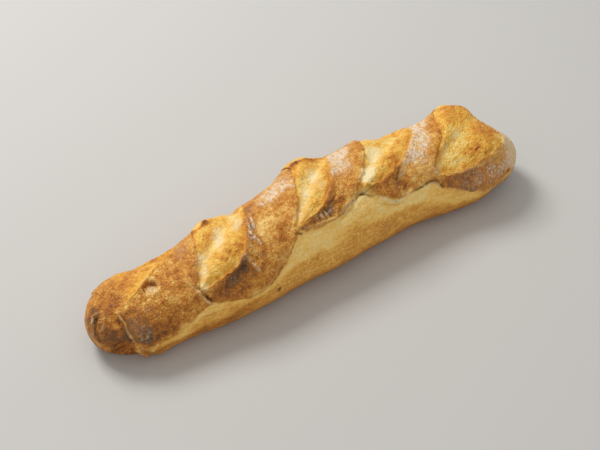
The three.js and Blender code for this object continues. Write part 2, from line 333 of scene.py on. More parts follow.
@dataclass(frozen=True)
class Slash:
    """One slash: its opened outline on the crust and its relief.

    The near rim crosses the crown at `crown` and leans by `lean` a degree (plus
    `bend`); `front` and `back` are the angles of its ends, `width` its widest opening,
    `taper` how much it narrows backwards, `blunt` the roundness of its ends, `bias` the
    share of its width on the near side of the line. The relief is the raised `ear`, the
    `near` and `far` banks of the bulge, the `crease` between them at its front and
    back, the crease's `course` across the slash, the far `lip` and the rim's `soft`
    half width; `run` and `bank` hold what all slashes share.
    """

    crown: float
    front: float
    back: float
    width: float
    ear: float
    near: float
    far: float
    crease: Pair
    course: Pair
    lip: float
    lean: float = 0.0
    bend: float = 0.0
    taper: float = 0.0
    blunt: float = 3.0
    bias: float = 0.0
    soft: float = 0.7
    ear_ramp: float = 22.0
    overhang_reach: float = 5.0
    lip_reach: float = 4.5
    run: SlashRun = SlashRun()
    bank: BankForm = BankForm()

    def width_at(self, around: Field) -> Field:
        """The slash's opening at an angle."""
        share = np.clip((around - self.front) / (self.back - self.front), 0.0, 1.0)
        pinch = 1.0 - self.taper * smooth(*self.run.narrows, share)
        oval = np.maximum(1.0 - np.abs(2.0 * share - 1.0) ** self.blunt, 0.0)
        return self.width * pinch * oval ** (1.0 / self.blunt)

    def leaning_line(self, around: Field) -> Field:
        """Where the slash's own line lies at an angle."""
        return self.crown + self.lean * around + self.bend * around**2

    def edges(self, around: Field) -> tuple[Field, Field]:
        """The near and the far rim at an angle."""
        line, width = self.leaning_line(around), self.width_at(around)
        return line - self.bias * width, line + (1.0 - self.bias) * width

    def rims(self, steps: int = 40) -> tuple[Route, Route]:
        """The near and the far rim as routes."""
        share = (1.0 - np.cos(np.linspace(0.0, np.pi, steps + 1))) / 2.0
        around = blend(self.front, self.back, share)
        near, far = self.edges(around)
        return list(zip(near, around)), list(zip(far, around))

    def fields(self, along: Field, around: Field, fray: Field) -> SlashFields:
        """Works out the slash's relief and its distances.

        Args:
            along: Places along the loaf.
            around: Angles of those places.
            fray: How far the rims stray outwards there, in millimetres.

        Returns:
            The slash's fields at each place.
        """
        near, far = self.edges(around)
        near_rim, far_rim = self.rims()
        to_near = distance_to(near_rim, along, around)
        to_far = distance_to(far_rim, along, around)
        share = (around - self.front) / (self.back - self.front)
        is_inside = (share > 0) & (share < 1) & (along > near) & (along < far)
        run, bank = self.run, self.bank
        fade = smooth(*run.opens, share) * (1.0 - smooth(*run.closes, share))
        rise = smooth(*run.bulge_rises, share)
        across = to_near / np.maximum(to_near + to_far, TINY)
        valley = blend(*self.course, smooth(*run.crease_crosses, share))
        floor = -blend(*self.crease, smooth(*run.crease_deepens, share))
        down = np.clip(across / valley, 0.0, 1.0)
        near_bank = self.near * (1.0 - smooth(bank.near_foot, 1.0, down))
        near_bank = near_bank * blend(bank.near_rim, 1.0, smooth(0.0, bank.near_crest, down))
        near_bank = blend(floor, floor * smooth(0.0, 1.0, down) + near_bank, rise)
        up = np.clip((across - valley) / np.maximum(1.0 - valley, SLIVER), 0.0, 1.0)
        far_bank = self.far * (1.0 - bank.far_back_loss * rise) * np.sin(np.pi * up)
        far_bank = far_bank * smooth(0.0, bank.far_rounding, up)
        far_bank = floor * (1.0 - smooth(0.0, bank.far_foot, up)) + far_bank
        near_side = (share > 0) & (along < (near + far) / 2.0)
        ear_share = blend(bank.front_ear, 1.0, smooth(*run.ear_rises, share)) * fade
        ear = self.ear * ear_share * np.clip(1.0 - to_near / self.ear_ramp, 0.0, 1.0) ** 2
        lip_share = smooth(*run.lip_starts, share) * (1.0 - smooth(*run.lip_ends, share))
        lip = self.lip * lip_share * bell(to_far / self.lip_reach)
        depth_in = np.minimum(to_near, to_far) * np.where(is_inside, 1.0, -1.0)
        hang = ear_share * np.clip(1.0 - to_near / self.overhang_reach, 0.0, 1.0)
        return SlashFields(
            inside=np.where(across < valley, near_bank, far_bank) * fade,
            outside=np.where(near_side, ear, lip),
            within=smooth(-self.soft, self.soft, depth_in + fray),
            overhang=np.where(near_side & ~is_inside, hang, 0.0),
            to_near=to_near,
            to_far=to_far,
            share=share,
            across=across,
            valley=valley,
        )


@dataclass(frozen=True)
class Patch:
    """An oval place on the crust, with a value that fades from its middle.

    `along` and `around` are its middle, `reach` its half sizes in millimetres along and
    around the loaf, `lean` how far it shears along for each millimetre around.
    """

    along: float
    around: float
    reach: Pair
    amount: float
    lean: float = 0.0
    edge: Pair = (0.45, 1.25)

    def at(self, along: Field, around: Field) -> Field:
        """The patch's value at each place."""
        up = (around - self.around) * MM_PER_DEGREE
        sideways = (along - self.along - self.lean * up) / self.reach[0]
        distance = np.hypot(sideways, up / self.reach[1])
        return self.amount * (1.0 - smooth(self.edge[0], self.edge[1], distance))


@dataclass(frozen=True)
class Streak:
    """A band on the crust that follows a route, with a value that fades from it."""

    route: tuple[Pair, ...]
    reach: float
    amount: float

    def at(self, along: Field, around: Field) -> Field:
        """The streak's value at each place."""
        return self.amount * bell(distance_to(self.route, along, around) / self.reach)


@dataclass(frozen=True)
class Swelling:
    """A broad swelling of the loaf, or a hollow where its height is negative."""

    along: float
    around: float
    spread: Pair
    height: float

    def at(self, along: Field, around: Field) -> Field:
        """The swelling's height at each place."""
        sideways = (along - self.along) / self.spread[0]
        return self.height * bell(np.hypot(sideways, (around - self.around) / self.spread[1]))


def total(marks: Iterable[Union[Patch, Streak, Swelling]], along: Field, around: Field) -> Field:
    """The sum of several marks at each place."""
    result = np.zeros(np.shape(along))
    for mark in marks:
        result = result + mark.at(along, around)
    return result


SLASHES = (
    Slash(
        crown=-147.0, front=-25.0, back=88.0, width=57.0, blunt=1.1, ear=0.4, near=1.0,
        far=1.6, crease=(0.6, 2.0), course=(0.9, 0.97), lip=0.7, soft=3.0,
    ),
    Slash(
        crown=-84.5, lean=0.25, front=-41.0, back=78.0, width=37.0, ear=3.2, near=5.6,
        far=1.8, crease=(1.4, 2.8), course=(0.05, 0.92), lip=1.6,
    ),
    Slash(
        crown=-7.0, lean=0.383, bend=-0.0033, front=-31.0, back=80.0, width=28.0, ear=4.4,
        near=7.1, far=1.1, crease=(1.4, 0.6), course=(0.1, 1.25), lip=1.6,
    ),
    Slash(
        crown=47.0, lean=0.51, bend=-0.006, front=-35.0, back=78.0, width=40.0, blunt=2.3,
        ear=3.8, near=2.4, far=1.3, crease=(1.4, 4.4), course=(0.12, 0.92), lip=1.2,
    ),
    Slash(
        crown=123.5, lean=0.27, bend=-0.0015, front=-56.5, back=62.0, width=85.0, taper=0.51,
        blunt=1.65, bias=0.36, ear=4.2, near=6.8, far=-0.5, crease=(1.8, 0.4),
        course=(0.05, 0.86), lip=0.6,
    ),
)


@dataclass(frozen=True)
class BeltEdge:
    """The crust's lower edge on the front, over the smooth belt.

    `notches` are (along, around, hang): where the belt reaches up between two straps,
    and by how many degrees the crust hangs down before the next one.
    """

    notches: tuple[Triple, ...] = (
        (-152.0, -84.0, 14.0),
        (-90.0, -62.0, 30.0),
        (-20.0, -36.0, 13.0),
        (33.0, -30.0, 17.0),
        (80.0, -50.0, 4.0),
        (126.0, -94.0, 0.0),
    )
    step: float = 1.2
    soft: float = 0.9
    run_out: Pair = (-112.0, -92.0)
    run_out_soft: float = 5.0
    starts: Pair = (-150.0, -120.0)
    ends: Pair = (112.0, 140.0)
    highest: float = 30.0

    def around_at(self, along: Field) -> Field:
        """The angle of the crust's edge at each place along the loaf."""
        around = np.full(np.shape(along), self.notches[0][1])
        for (start, low, hang), (end, high, _) in zip(self.notches[:-1], self.notches[1:]):
            share = np.clip((along - start) / (end - start), 0.0, 1.0)
            stretch = blend(low, high, share) - hang * np.sin(np.pi * share)
            around = np.where(along >= start, stretch, around)
        return around

    def span(self, along: Field) -> Field:
        """1 where the belt shows and 0 towards the loaf's two ends."""
        return smooth(*self.starts, along) * (1.0 - smooth(*self.ends, along))

    def above(self, along: Field, around: Field) -> Field:
        """Height over the crust's edge, in millimetres around the loaf."""
        return (around - self.around_at(along)) * MM_PER_DEGREE

    def crisp(self, along: Field) -> Field:
        """1 where the crust has a torn edge, 0 where the first strap runs out softly."""
        return smooth(*self.run_out, along)

    def shows(self, along: Field, around: Field, fray: Field, stray: Field) -> Field:
        """How far a place is on the belt.

        Args:
            along: Places along the loaf.
            around: Angles of those places.
            fray: How far the torn edge strays there, in millimetres.
            stray: How far the soft edge of the first strap strays there.

        Returns:
            1 on the belt and 0 on the crust.
        """
        crisp = self.crisp(along)
        soft = blend(self.run_out_soft, self.soft, crisp)
        over = self.above(along, around) + blend(stray, fray, crisp)
        below = 1.0 - smooth(-1.0, 1.0, over / soft)
        return np.where(around < self.highest, below * self.span(along), 0.0)


@dataclass(frozen=True)
class NearEndFold:
    """The fold where the near end was rolled under, and the small knob before it."""

    route: tuple[Pair, ...] = (
        (-146.0, -15.0), (-143.5, -40.0), (-142.0, -60.0), (-140.0, -78.0), (-136.0, -92.0),
        (-128.0, -135.0),
    )
    depth: float = 2.2
    reach: float = 3.0
    fades_up: Pair = (-45.0, -12.0)
    fades_under: Pair = (-150.0, -135.0)
    recess: float = 8.6
    recess_edge: Pair = (-148.0, -139.0)
    recess_lean: float = 0.18
    recess_level: float = -90.0
    recess_top: Pair = (-95.0, -55.0)
    clear_of_tip: Pair = (3.0, 14.0)

    def relief(self, along: Field, around: Field, from_tip: Field) -> Field:
        """Depth of the fold and of the recess before it."""
        front = (1.0 - smooth(*self.fades_up, around)) * smooth(*self.fades_under, around)
        fold = -self.depth * front * bell(distance_to(self.route, along, around) / self.reach)
        leaning = along + self.recess_lean * (around - self.recess_level)
        before = 1.0 - smooth(*self.recess_edge, leaning)
        low = 1.0 - smooth(*self.recess_top, around)
        return fold - self.recess * before * low * smooth(*self.clear_of_tip, from_tip)


@dataclass(frozen=True)
class BurstBubble:
    """A blister of the crust that burst open and shows its pale floor."""

    along: float = -119.2
    around: float = -9.0
    size: Pair = (5.2, 6.6)
    depth: float = 3.0
    floor: Patch = Patch(-118.9, -12.5, (4.3, 4.7), 1.0, edge=(0.78, 1.08))
    wall: Pair = (0.66, 1.02)
    opening: Pair = (0.86, 1.0)
    rim_height: float = 0.6
    rim_place: Pair = (1.12, 0.14)
    pale_rim_place: Pair = (1.08, 0.1)
    # painted shade over the opening, which leaves only the low floor pale
    wall_shade: float = 0.24
    floor_brown: float = 0.34
    rim_brown: float = 0.12
    floor_cream: float = 0.62
    rim_cream: float = 0.45

    def distance(self, along: Field, around: Field) -> Field:
        """Distance from its middle, 1 at its rim."""
        up = (around - self.around) * MM_PER_DEGREE
        return np.hypot((along - self.along) / self.size[0], up / self.size[1])

    def relief(self, along: Field, around: Field) -> Field:
        """Depth of the open bubble."""
        distance = self.distance(along, around)
        place, width = self.rim_place
        rim = self.rim_height * bell((distance - place) / width)
        return rim - self.depth * (1.0 - smooth(*self.wall, distance))

    def colours(self, along: Field, around: Field) -> tuple[Field, Field]:
        """How far painted shade darkens its opening above the pale floor, and how pale its floor
        and rim are.
        """
        distance = self.distance(along, around)
        opened = 1.0 - smooth(*self.opening, distance)
        pale = self.floor.at(along, around) * opened
        place, width = self.pale_rim_place
        rim = bell((distance - place) / width)
        brown = opened * self.wall_shade - pale * self.floor_brown - rim * self.rim_brown
        return brown, pale * self.floor_cream + rim * self.rim_cream


@dataclass(frozen=True)
class Wave:
    """A wave over the crust, by how far it takes to swing along and around the loaf."""

    along: float = math.inf
    around: float = math.inf
    start: float = 0.0

    def at(self, along: Field, around: Field) -> Field:
        """The wave's height, from -1 to 1."""
        return np.sin(along / self.along + around / self.around + self.start)


@dataclass(frozen=True)
class Waves:
    """Slow crossing waves that keep the rolled dough from being even."""

    crossings: tuple[tuple[float, Wave, Wave], ...] = (
        (0.45, Wave(along=9.1, start=1.3), Wave(along=31.0, around=23.0)),
        (0.4, Wave(15.7, 40.0, -0.4), Wave(around=31.0, start=0.8 + math.pi / 2.0)),
    )

    def relief(self, along: Field, around: Field) -> Field:
        """Height of the waves."""
        result = np.zeros(np.shape(along))
        for height, first, second in self.crossings:
            result += height * first.at(along, around) * second.at(along, around)
        return result


SWELLINGS = (
    Swelling(-131.0, -125.0, (13.0, 32.0), 2.4),
    Swelling(-128.0, 42.0, (12.0, 30.0), 1.0),
    Swelling(108.0, -118.0, (22.0, 36.0), 2.2),
    Swelling(139.0, 22.0, (8.0, 16.0), 3.4),
    Swelling(154.0, 32.0, (13.0, 42.0), -5.0),
    Swelling(138.0, -132.0, (12.0, 34.0), -5.5),
)


# ---- Marks on the crust ----------------------------------------------------------------


@dataclass(frozen=True)
class Mark:
    """One mark on the crust.

    `where` is its place, `relief` its height in millimetres, and the rest is what it
    adds to the looks: how far the dough is browned (in a few marks painted shade
    instead), pale stretched dough that hardly browned (cream), dusting flour, grey
    near-burnt crust (char), painted shade that darkens cracks, gaps and holes (crack)
    and tiny pale blisters (speckle).
    """

    where: Union[Patch, Streak]
    relief: float = 0.0
    brown: float = 0.0
    cream: float = 0.0
    flour: float = 0.0
    char: float = 0.0
    # painted shade that darkens cracks, gaps and holes
    crack: float = 0.0
    speckle: float = 0.0


def spot(
    along: float,
    around: float,
    reach: Pair,
    lean: float = 0.0,
    edge: Pair = (0.45, 1.25),
    **adds: float,
) -> Mark:
    """An oval mark of full strength, with what it adds by name."""
    return Mark(Patch(along, around, reach, 1.0, lean, edge), **adds)


def pit(along: float, around: float, radius: float, depth: float = 0.9) -> Mark:
    """A small hole in the crust, darkened with painted shade."""
    adds = {"relief": -depth, "brown": 0.25, "crack": 0.3}
    return spot(along, around, (radius, radius), edge=(0.2, 1.4), **adds)


def pits(*holes: tuple[float, ...]) -> list[Mark]:
    """Small holes, each by its place, its radius and at will its depth."""
    return [pit(*hole) for hole in holes]


def line(reach: float, *route: Pair, **adds: float) -> Mark:
    """A mark of full strength along a route, with what it adds by name."""
    return Mark(Streak(route, reach, 1.0), **adds)


def lines(reach: float, *routes: Route, **adds: float) -> list[Mark]:
    """Marks along several routes that add the same."""
    return [line(reach, *route, **adds) for route in routes]


NEAR_END_MARKS = (
    # The near tip: a curled-up loop of dough, with painted shade darkening the crease inside it.
    spot(-152, -38, (12, 34), brown=0.19, speckle=0.5),
    spot(-155, 0, (6, 14), brown=0.16, flour=0.2),
    line(0.9, (-151, -24), (-150.6, -12), (-152.6, -5), (-155.6, -2), (-157.4, -14), relief=1.2,
         cream=0.55, brown=-0.1),
    line(0.5, (-157.4, -14), (-158.6, -34), (-159, -60), (-158.8, -84), (-157.5, -112),
         relief=0.9, cream=0.45),
    line(0.7, (-154.4, -12), (-156, -22), (-157.6, -36), (-158, -60), (-157.6, -84), relief=-1.2,
         crack=0.6, brown=0.2),
    line(0.8, (-151, -24), (-152.6, -34), (-155, -48), relief=0.5, cream=0.35),
    spot(-153.5, -28, (3, 8), flour=0.25),
    spot(-150, -76, (8, 18), brown=0.2, char=0.2, flour=0.12),
    spot(-146.5, -42, (3, 18), brown=-0.14),
    # The fold behind the tip: a floured lip with a shallow gap under it, darkened with painted
    # shade.
    line(0.6, (-143.3, -24), (-143.3, -38), (-142.5, -54), (-141.5, -71), relief=1.1, cream=0.62,
         brown=-0.1),
    line(0.5, (-141.5, -71), (-139.8, -87), (-137.5, -98), (-133.4, -120), relief=0.9, cream=0.5),
    line(0.6, (-138, -84), (-136, -94), (-132, -99), (-129, -94), (-126, -89), relief=0.7,
         cream=0.5),
    line(0.5, (-134, -86), (-131.5, -92), (-129.5, -100), relief=0.6, cream=0.5),
    line(0.7, (-139.4, -66), (-137, -78), (-134, -90), relief=-0.6, crack=0.45),
    line(1.2, (-146, -24), (-145, -42), (-144, -60), (-142.6, -76), (-140.6, -92), relief=-0.8,
         crack=0.14, brown=0.2),
    spot(-136, -56, (9, 16), brown=0.24, char=0.08, flour=0.5),
    spot(-127, -68, (13, 12), brown=0.1),
    spot(-133, -78, (7, 8), brown=0.2, char=0.05, flour=0.3),
    spot(-126.5, -34, (4.5, 4.5), brown=0.08, flour=0.4),
    spot(-123, -46, (3, 3), flour=0.4),
    spot(-128, -106, (9, 8), brown=0.25, crack=0.1),
    # The first bulge.
    line(2.6, (-144, -27), (-136, -12), (-127, -3), (-118, 7), (-108, 18), brown=-0.14),
    spot(-138, 22, (12, 13), brown=0.05),
    spot(-131.2, 10.3, (3.4, 1.6), relief=-0.6, brown=0.14),
    spot(-140, -10, (5, 8), brown=0.12),
)

STRAP_1_MARKS = (
    spot(-114, -36, (24, 30), speckle=0.9),
    spot(-108, 8, (18, 18), 0.6, brown=-0.02, speckle=0.4),
    spot(-90, 18, (6, 14), 0.3, brown=0.1, flour=0.5),
    spot(-118, -60, (16, 12), brown=0.08),
    # The torn stretch between the first strap and the second slash, its crack darkened with
    # painted shade.
    line(1, (-99, -21), (-98, -29), (-96, -37), (-94, -47), (-92, -56), (-88, -67), relief=0.7,
         cream=0.45, brown=-0.1),
    line(0.9, (-94, -36), (-92.5, -45), (-90.5, -53), (-88.5, -60), relief=-1.2, crack=0.8),
    spot(-91, -38, (4, 6), cream=0.5, brown=-0.1),
    line(1, (-90, -36), (-89, -44), cream=0.6),
    line(0.8, (-88, -68), (-94, -74), (-98, -77), (-102, -82), relief=0.5, cream=0.45),
    spot(-92, -79, (5, 2.4), brown=0.1, crack=0.3),
)

SLASH_2_MARKS = (
    spot(-77, 22, (9, 12), 0.5, brown=-0.06),
    line(3.2, (-88, -26), (-85, -14), (-82, -5), cream=0.95, relief=-0.3),
    line(3.4, (-63, 16), (-66, 8), (-70, -4), cream=0.95, relief=-0.2),
    spot(-52, 7, (4.5, 6), 0.5, cream=0.75),
    spot(-60, 4, (4, 7), 0.5, brown=0.02),
    spot(-47, 31, (5, 6), cream=0.6),
    spot(-71, 12, (4, 6), 0.5, brown=0.16, relief=0.5),
    spot(-66, -18, (8, 8), 0.8, brown=0.06, relief=0.5),
    spot(-78, 6, (4, 6), brown=0.1, relief=0.3),
    line(2, (-86, -33), (-78, -36), (-70, -33), (-63, -24), (-57, -12), brown=0.12),
    # The torn top of the ear behind it.
    line(1.8, (-77, 28), (-72, 27), (-68, 30), (-62, 34), brown=0.24),
    spot(-75.5, 29, (2.4, 2.6), relief=1.2, brown=0.3),
    spot(-66.5, 31.5, (3, 3), relief=1.6, brown=0.4),
    *pits((-69, -24, 1.3), (-65.5, -17.5, 1.1), (-72, -20, 0.9, 0.5), (-82, -2, 1.4),
          (-75, 4, 1, 0.6), (-60, -13, 0.9, 0.5), (-67, -20.5, 0.8, 0.5), (-62.5, -22, 0.8, 0.5)),
)

STRAP_2_MARKS = (
    spot(-73, -56, (19, 13), 0.7, brown=0.26, flour=0.22, speckle=0.5),
    spot(-62, -35, (4.5, 5), 0.6, brown=0.4, char=0.4, crack=0.15),
    spot(-70, -47, (8, 6), 0.8, brown=0.2, flour=0.25),
    line(3.4, (-38, 28), (-42, 14), (-45, 0), (-49, -13), brown=0.16, char=0.1),
    line(4.4, (-44, 6), (-47, -8), (-50, -20), brown=0.18, flour=0.55),
    line(0.7, (-41, 10), (-43, 0), (-44, -10), relief=0.3, flour=0.95, cream=0.2),
    line(0.7, (-45, 8), (-47, -2), relief=0.3, flour=0.85, cream=0.2),
    line(0.7, (-54, -20), (-52, -30), (-49, -40), relief=0.3, flour=0.85, cream=0.3),
    line(1, (-59, -28), (-58, -35), (-57, -42), (-55, -52), relief=0.4, flour=0.9, cream=0.4),
    line(1, (-62, -27), (-60.5, -32), flour=0.5, cream=0.3),
    line(0.9, (-48, -6), (-47.5, -16), (-47, -26), relief=0.3, flour=0.85, cream=0.3),
    line(0.9, (-51, -8), (-51, -18), flour=0.5),
    line(2.4, (-44, -22), (-47, -34), (-50, -46), brown=0.2),
    spot(-36, -13, (7, 11), 0.4, brown=-0.16, speckle=-0.5),
    spot(-27, -20, (4.5, 5), 0.3, brown=0.08),
    line(1.6, (-41, -4), (-42, -15), (-43, -26), cream=0.25, brown=-0.12),
    spot(-48, -62, (11, 9), brown=0.12, speckle=0.6),
    spot(-32, -30, (8, 6), brown=0.1),
    spot(-27, 4, (12, 10), 0.5, brown=0.07, speckle=0.6),
    spot(-38, 18, (5, 6), brown=0.1, flour=0.5),
    spot(-16, 26, (18, 11), 0.4, flour=1, brown=0.05),
    spot(-5, 10, (5, 6), flour=0.8),
    spot(-22, 12, (12, 8), 0.4, flour=0.3),
)

SLASH_3_MARKS = (
    line(3.6, (-16, -23), (-11, -16), (-6, -9), (0, -2), (6, 5), (12, 11), cream=0.7),
    spot(9, -7, (4, 4), 0.5, cream=0.4),
    spot(12, 12, (5, 7), 0.5, cream=0.35),
    line(2.2, (-9, -8), (-3, 2), (1, 12), brown=-0.06),
    line(2.2, (-1, 10), (2, 20), (5, 32), brown=0.12),
    line(2, (6, -20), (13, -9), (19, 3), (25, 12), brown=0.08),
    line(2, (3, 33), (9, 31), (16, 32), (23, 35), (29, 39), brown=0.36, relief=0.4),
    spot(6, 32, (3, 2.6), relief=1.2, brown=0.2),
    spot(17, 33, (4, 2.4), relief=0.8, brown=0.2),
    *pits((-8, -12.5, 1, 0.6), (-2, -5, 0.9, 0.5), (4, 3, 1, 0.5), (-11.5, -17, 0.8, 0.5)),
    # Small cracks where the slash meets the belt, darkened with painted shade.
    line(0.8, (-20, -29), (-17.5, -35), relief=-0.7, crack=0.8),
    line(0.8, (-23, -35), (-19, -40), relief=-0.6, crack=0.7),
    line(0.7, (-16.5, -31), (-14, -36), relief=-0.5, crack=0.6),
)

STRAP_3_MARKS = (
    line(2.6, (-15, -33), (-8, -34), (0, -34), (8, -30), brown=0.2, char=0.15),
    line(2.6, (-5, -34), (1, -34), (8, -31), brown=0.15, char=0.45, flour=0.7),
    # Cracks across the dark tongue, darkened with painted shade.
    line(0.45, (-8.5, -30), (-7.5, -37), relief=-0.6, crack=0.5),
    line(0.5, (-4.5, -30), (-3.4, -39), relief=-0.9, crack=0.75),
    *lines(0.5, ((-0.6, -28), (1, -40)), ((2.6, -27), (4.6, -40)), relief=-1, crack=0.9),
    line(0.5, (6, -26), (8, -38), relief=-0.8, crack=0.75),
    *lines(0.6, ((-2.6, -31), (-1.2, -37)), ((1, -30), (2.8, -37)), relief=0.4, flour=0.9,
           cream=0.4),
    line(0.6, (-18, -32), (-14, -37), (-8, -39.5), (0, -41.5), (9, -42), relief=0.5, cream=0.45,
         brown=-0.1),
    line(2.6, (9, -25), (12, -15), (17, -4), (22, 3), brown=0.22, char=0.15, flour=0.3),
    line(0.8, (6, -24), (10, -26), (14, -22), relief=-0.6, crack=0.7),
    spot(30, 2, (10, 9), 0.6, brown=0.02, flour=0.5),
    spot(24, -18, (11, 10), 0.8, brown=0.02, speckle=0.7),
    spot(15, -34, (5, 8), brown=0.16),
    spot(38, 30, (14, 10), 0.4, flour=1.2, brown=0),
    spot(27, 12, (7, 8), 0.4, flour=0.75, brown=0.04),
    spot(36, 12, (9, 9), 0.4, brown=0.04, flour=0.5),
    spot(20, 2, (3, 5), 0.4, flour=0.5),
    # The open crack under the third strap, with torn fibres of dough in it; its dark lines are
    # painted shade in the gap.
    line(3, (18, -42), (23, -38.5), (28, -36), (34, -35), cream=0.75, relief=-0.2),
    line(1.2, (25, -29), (28.5, -31), (32, -34), (35.5, -38), (38, -41), relief=-0.6, crack=0.75),
    line(0.5, (17, -38.5), (15.6, -44), crack=0.5, brown=0.2),
    *lines(0.5, ((20.5, -36.5), (18, -42)), ((24.5, -34.5), (22, -40)), crack=0.6, brown=0.2),
    line(0.5, (28, -32.5), (26.4, -37), crack=0.7, brown=0.2),
    line(0.5, (31.5, -32), (30.4, -35.5), crack=0.6, brown=0.2),
    line(1, (13, -43), (18, -37.5), (24, -32.5), (28, -29), relief=0.8, cream=0.3, brown=-0.08),
    # The thin strip of crust that bridges it to the dark flap.
    line(2.1, (30, -19), (33, -22), (36.5, -28), (41, -35), (45, -43.5), (49, -51), relief=2.6,
         brown=0.06, cream=-0.6, crack=-1),
    line(0.7, (31, -25), (34.5, -29), (38.5, -36), (42.4, -45), (46.6, -52), cream=0.5),
)

SLASH_4_MARKS = (
    # The pale dough at the slash's front, made paler still as painted light against the shade that
    # falls there.
    line(3.4, (37, -21), (42, -15), (48, -11), cream=1.1, brown=-0.1),
    spot(42, -18, (6, 6), 0.5, cream=1, brown=-0.1, relief=0.6),
    spot(58.5, 7, (7, 9), 0.4, cream=0.8),
    line(2, (44, -2), (50, 8), (55, 18), brown=-0.04, cream=-0.2),
    spot(62, 20, (9, 12), 0.5, brown=-0.04),
    line(2.2, (60, -4), (66, -3), (72, 2), (80, 10), brown=0.14, relief=0.3),
    spot(65, -13, (6, 6), 0.4, brown=0.2),
    spot(52, -24, (9, 4), 0.6, brown=0.08),
    *pits((63, -10, 1, 0.5), (52, 13, 0.9, 0.4)),
)

STRAP_4_MARKS = (
    # The dark flap and the grey place where it was pulled.
    spot(55, -42, (12, 12), -0.4, brown=0.1, speckle=0.5),
    line(2.6, (71, -16), (68, -22), (65, -27), (61, -36), (58, -44), char=0.5, brown=0.1),
    line(1.8, (73, -15), (70.5, -21), (67.5, -28), (64.5, -33), flour=1.1, cream=0.6, char=-0.5),
    # Cracks where the flap was pulled, darkened with painted shade.
    line(0.6, (66, -22), (62, -30), (58, -38), relief=-0.6, crack=0.6),
    line(0.6, (63, -22), (59, -29), (55, -35), relief=-0.5, crack=0.4),
    line(1.1, (44, -47), (48, -53), (54, -60), (60, -60), (66, -53), relief=1.5, cream=0.95,
         brown=-0.25, crack=-1),
    # Painted shade in the groove under the flap's pale edge.
    line(0.9, (42, -51), (47, -58), (54, -64), (62, -63), relief=-0.8, brown=0.3, crack=0.2),
    line(1.4, (44, -29), (51, -32), (57, -28), (65, -20), brown=0.1),
    line(1.4, (66, -30), (65, -42), (64, -52), relief=-0.9, brown=0.2),
    spot(77, -38, (8, 11), brown=-0.1, speckle=0.4),
    # Flour on the crown.
    spot(90, 2, (13, 19), 0.5, flour=1.2, brown=0.02),
    spot(104, 32, (14, 12), 0.4, flour=1, brown=0.04),
    spot(85, -6, (6, 6), 0.4, flour=0.3),
    *lines(1, ((79, -10), (75, -20)), ((82, -12), (79, -25)), ((86, -14), (85, -27)), flour=0.6),
    line(1, (90, -16), (91, -28), flour=0.5),
    spot(88, -38, (6, 9), flour=0.4, cream=0.2),
    line(2.6, (112, 5), (105, -8), (99, -20), (95, -32), brown=0.14, flour=-0.6),
    # Cracks along the crust's lower edge, darkened with painted shade.
    line(1.3, (79, -54), (84, -52), (88, -55), (91, -62), (93, -68), relief=-1.2, crack=1),
    line(1, (71, -57), (77, -55.5), relief=-0.9, crack=0.9),
    line(1.3, (80, -57), (85, -56), (89, -60), relief=0.6, cream=0.8),
)

SLASH_5_MARKS = (
    line(1.7, (106, -18), (102, -25), (98, -32), (95, -38), (92, -45), cream=0.8, relief=-0.4),
    line(1.5, (121, -5), (117, -9), (113, -13), cream=0.6),
    # Creases in the bulge, darkened with painted shade.
    line(0.5, (107, -16), (103, -22), crack=0.6, relief=-0.5),
    line(0.5, (99.5, -26), (96.5, -32), crack=0.5, relief=-0.5),
    spot(113, -22, (8, 14), 0.5, brown=-0.1),
    spot(126, 14, (10, 14), 0.3, brown=0.1),
    spot(136, -22, (13, 16), 0.3, brown=0.12),
    spot(122, -33, (7, 6), brown=0.18, relief=-0.4),
    spot(140, -8, (10, 12), brown=0.14),
    line(1.6, (124, 24), (130, 24), (136, 22), (142, 14), (147, 2), brown=0.35, relief=0.4),
    line(1.2, (94, -48), (103, -53), (112, -56), (122, -56), (131, -53), (141, -47), (148, -40),
         (153, -30), relief=0.5, cream=0.35, brown=-0.12),
    *pits((121, -32, 1.7, 1), (125, -35, 1.2, 0.7), (114, -33.5, 1.1, 0.6), (129, -42, 1.1, 0.6),
          (118, -44, 1.2, 0.6), (135, -31, 1, 0.5), (131, -24, 1, 0.5)),
)

FAR_END_MARKS = (
    spot(122, -72, (32, 14), -0.2, brown=0.2, flour=0.6),
    spot(98, -56, (7, 7), brown=0.16, flour=0.1),
    line(2.2, (96, -66), (103, -76), (112, -82), (122, -84), brown=0.2, char=0.1),
    spot(110, -64, (9, 9), brown=0.1, char=0.15),
    spot(142, -62, (15, 15), flour=0.3),
    line(1.6, (128, -60), (130, -76), flour=0.15),
    line(1.4, (118, -62), (119, -78), flour=0.15),
    spot(157, -50, (12, 38), edge=(0.1, 1.5), flour=1.15, brown=-0.18),
    spot(158, 20, (10, 40), edge=(0.1, 1.5), flour=0.85, brown=-0.1),
    # A small pit, darkened with painted shade.
    spot(148, -84, (2.2, 1.6), relief=-0.8, brown=0.4, crack=0.8, flour=-1),
    spot(144, -86, (5, 3), brown=0.1, flour=-0.6),
)

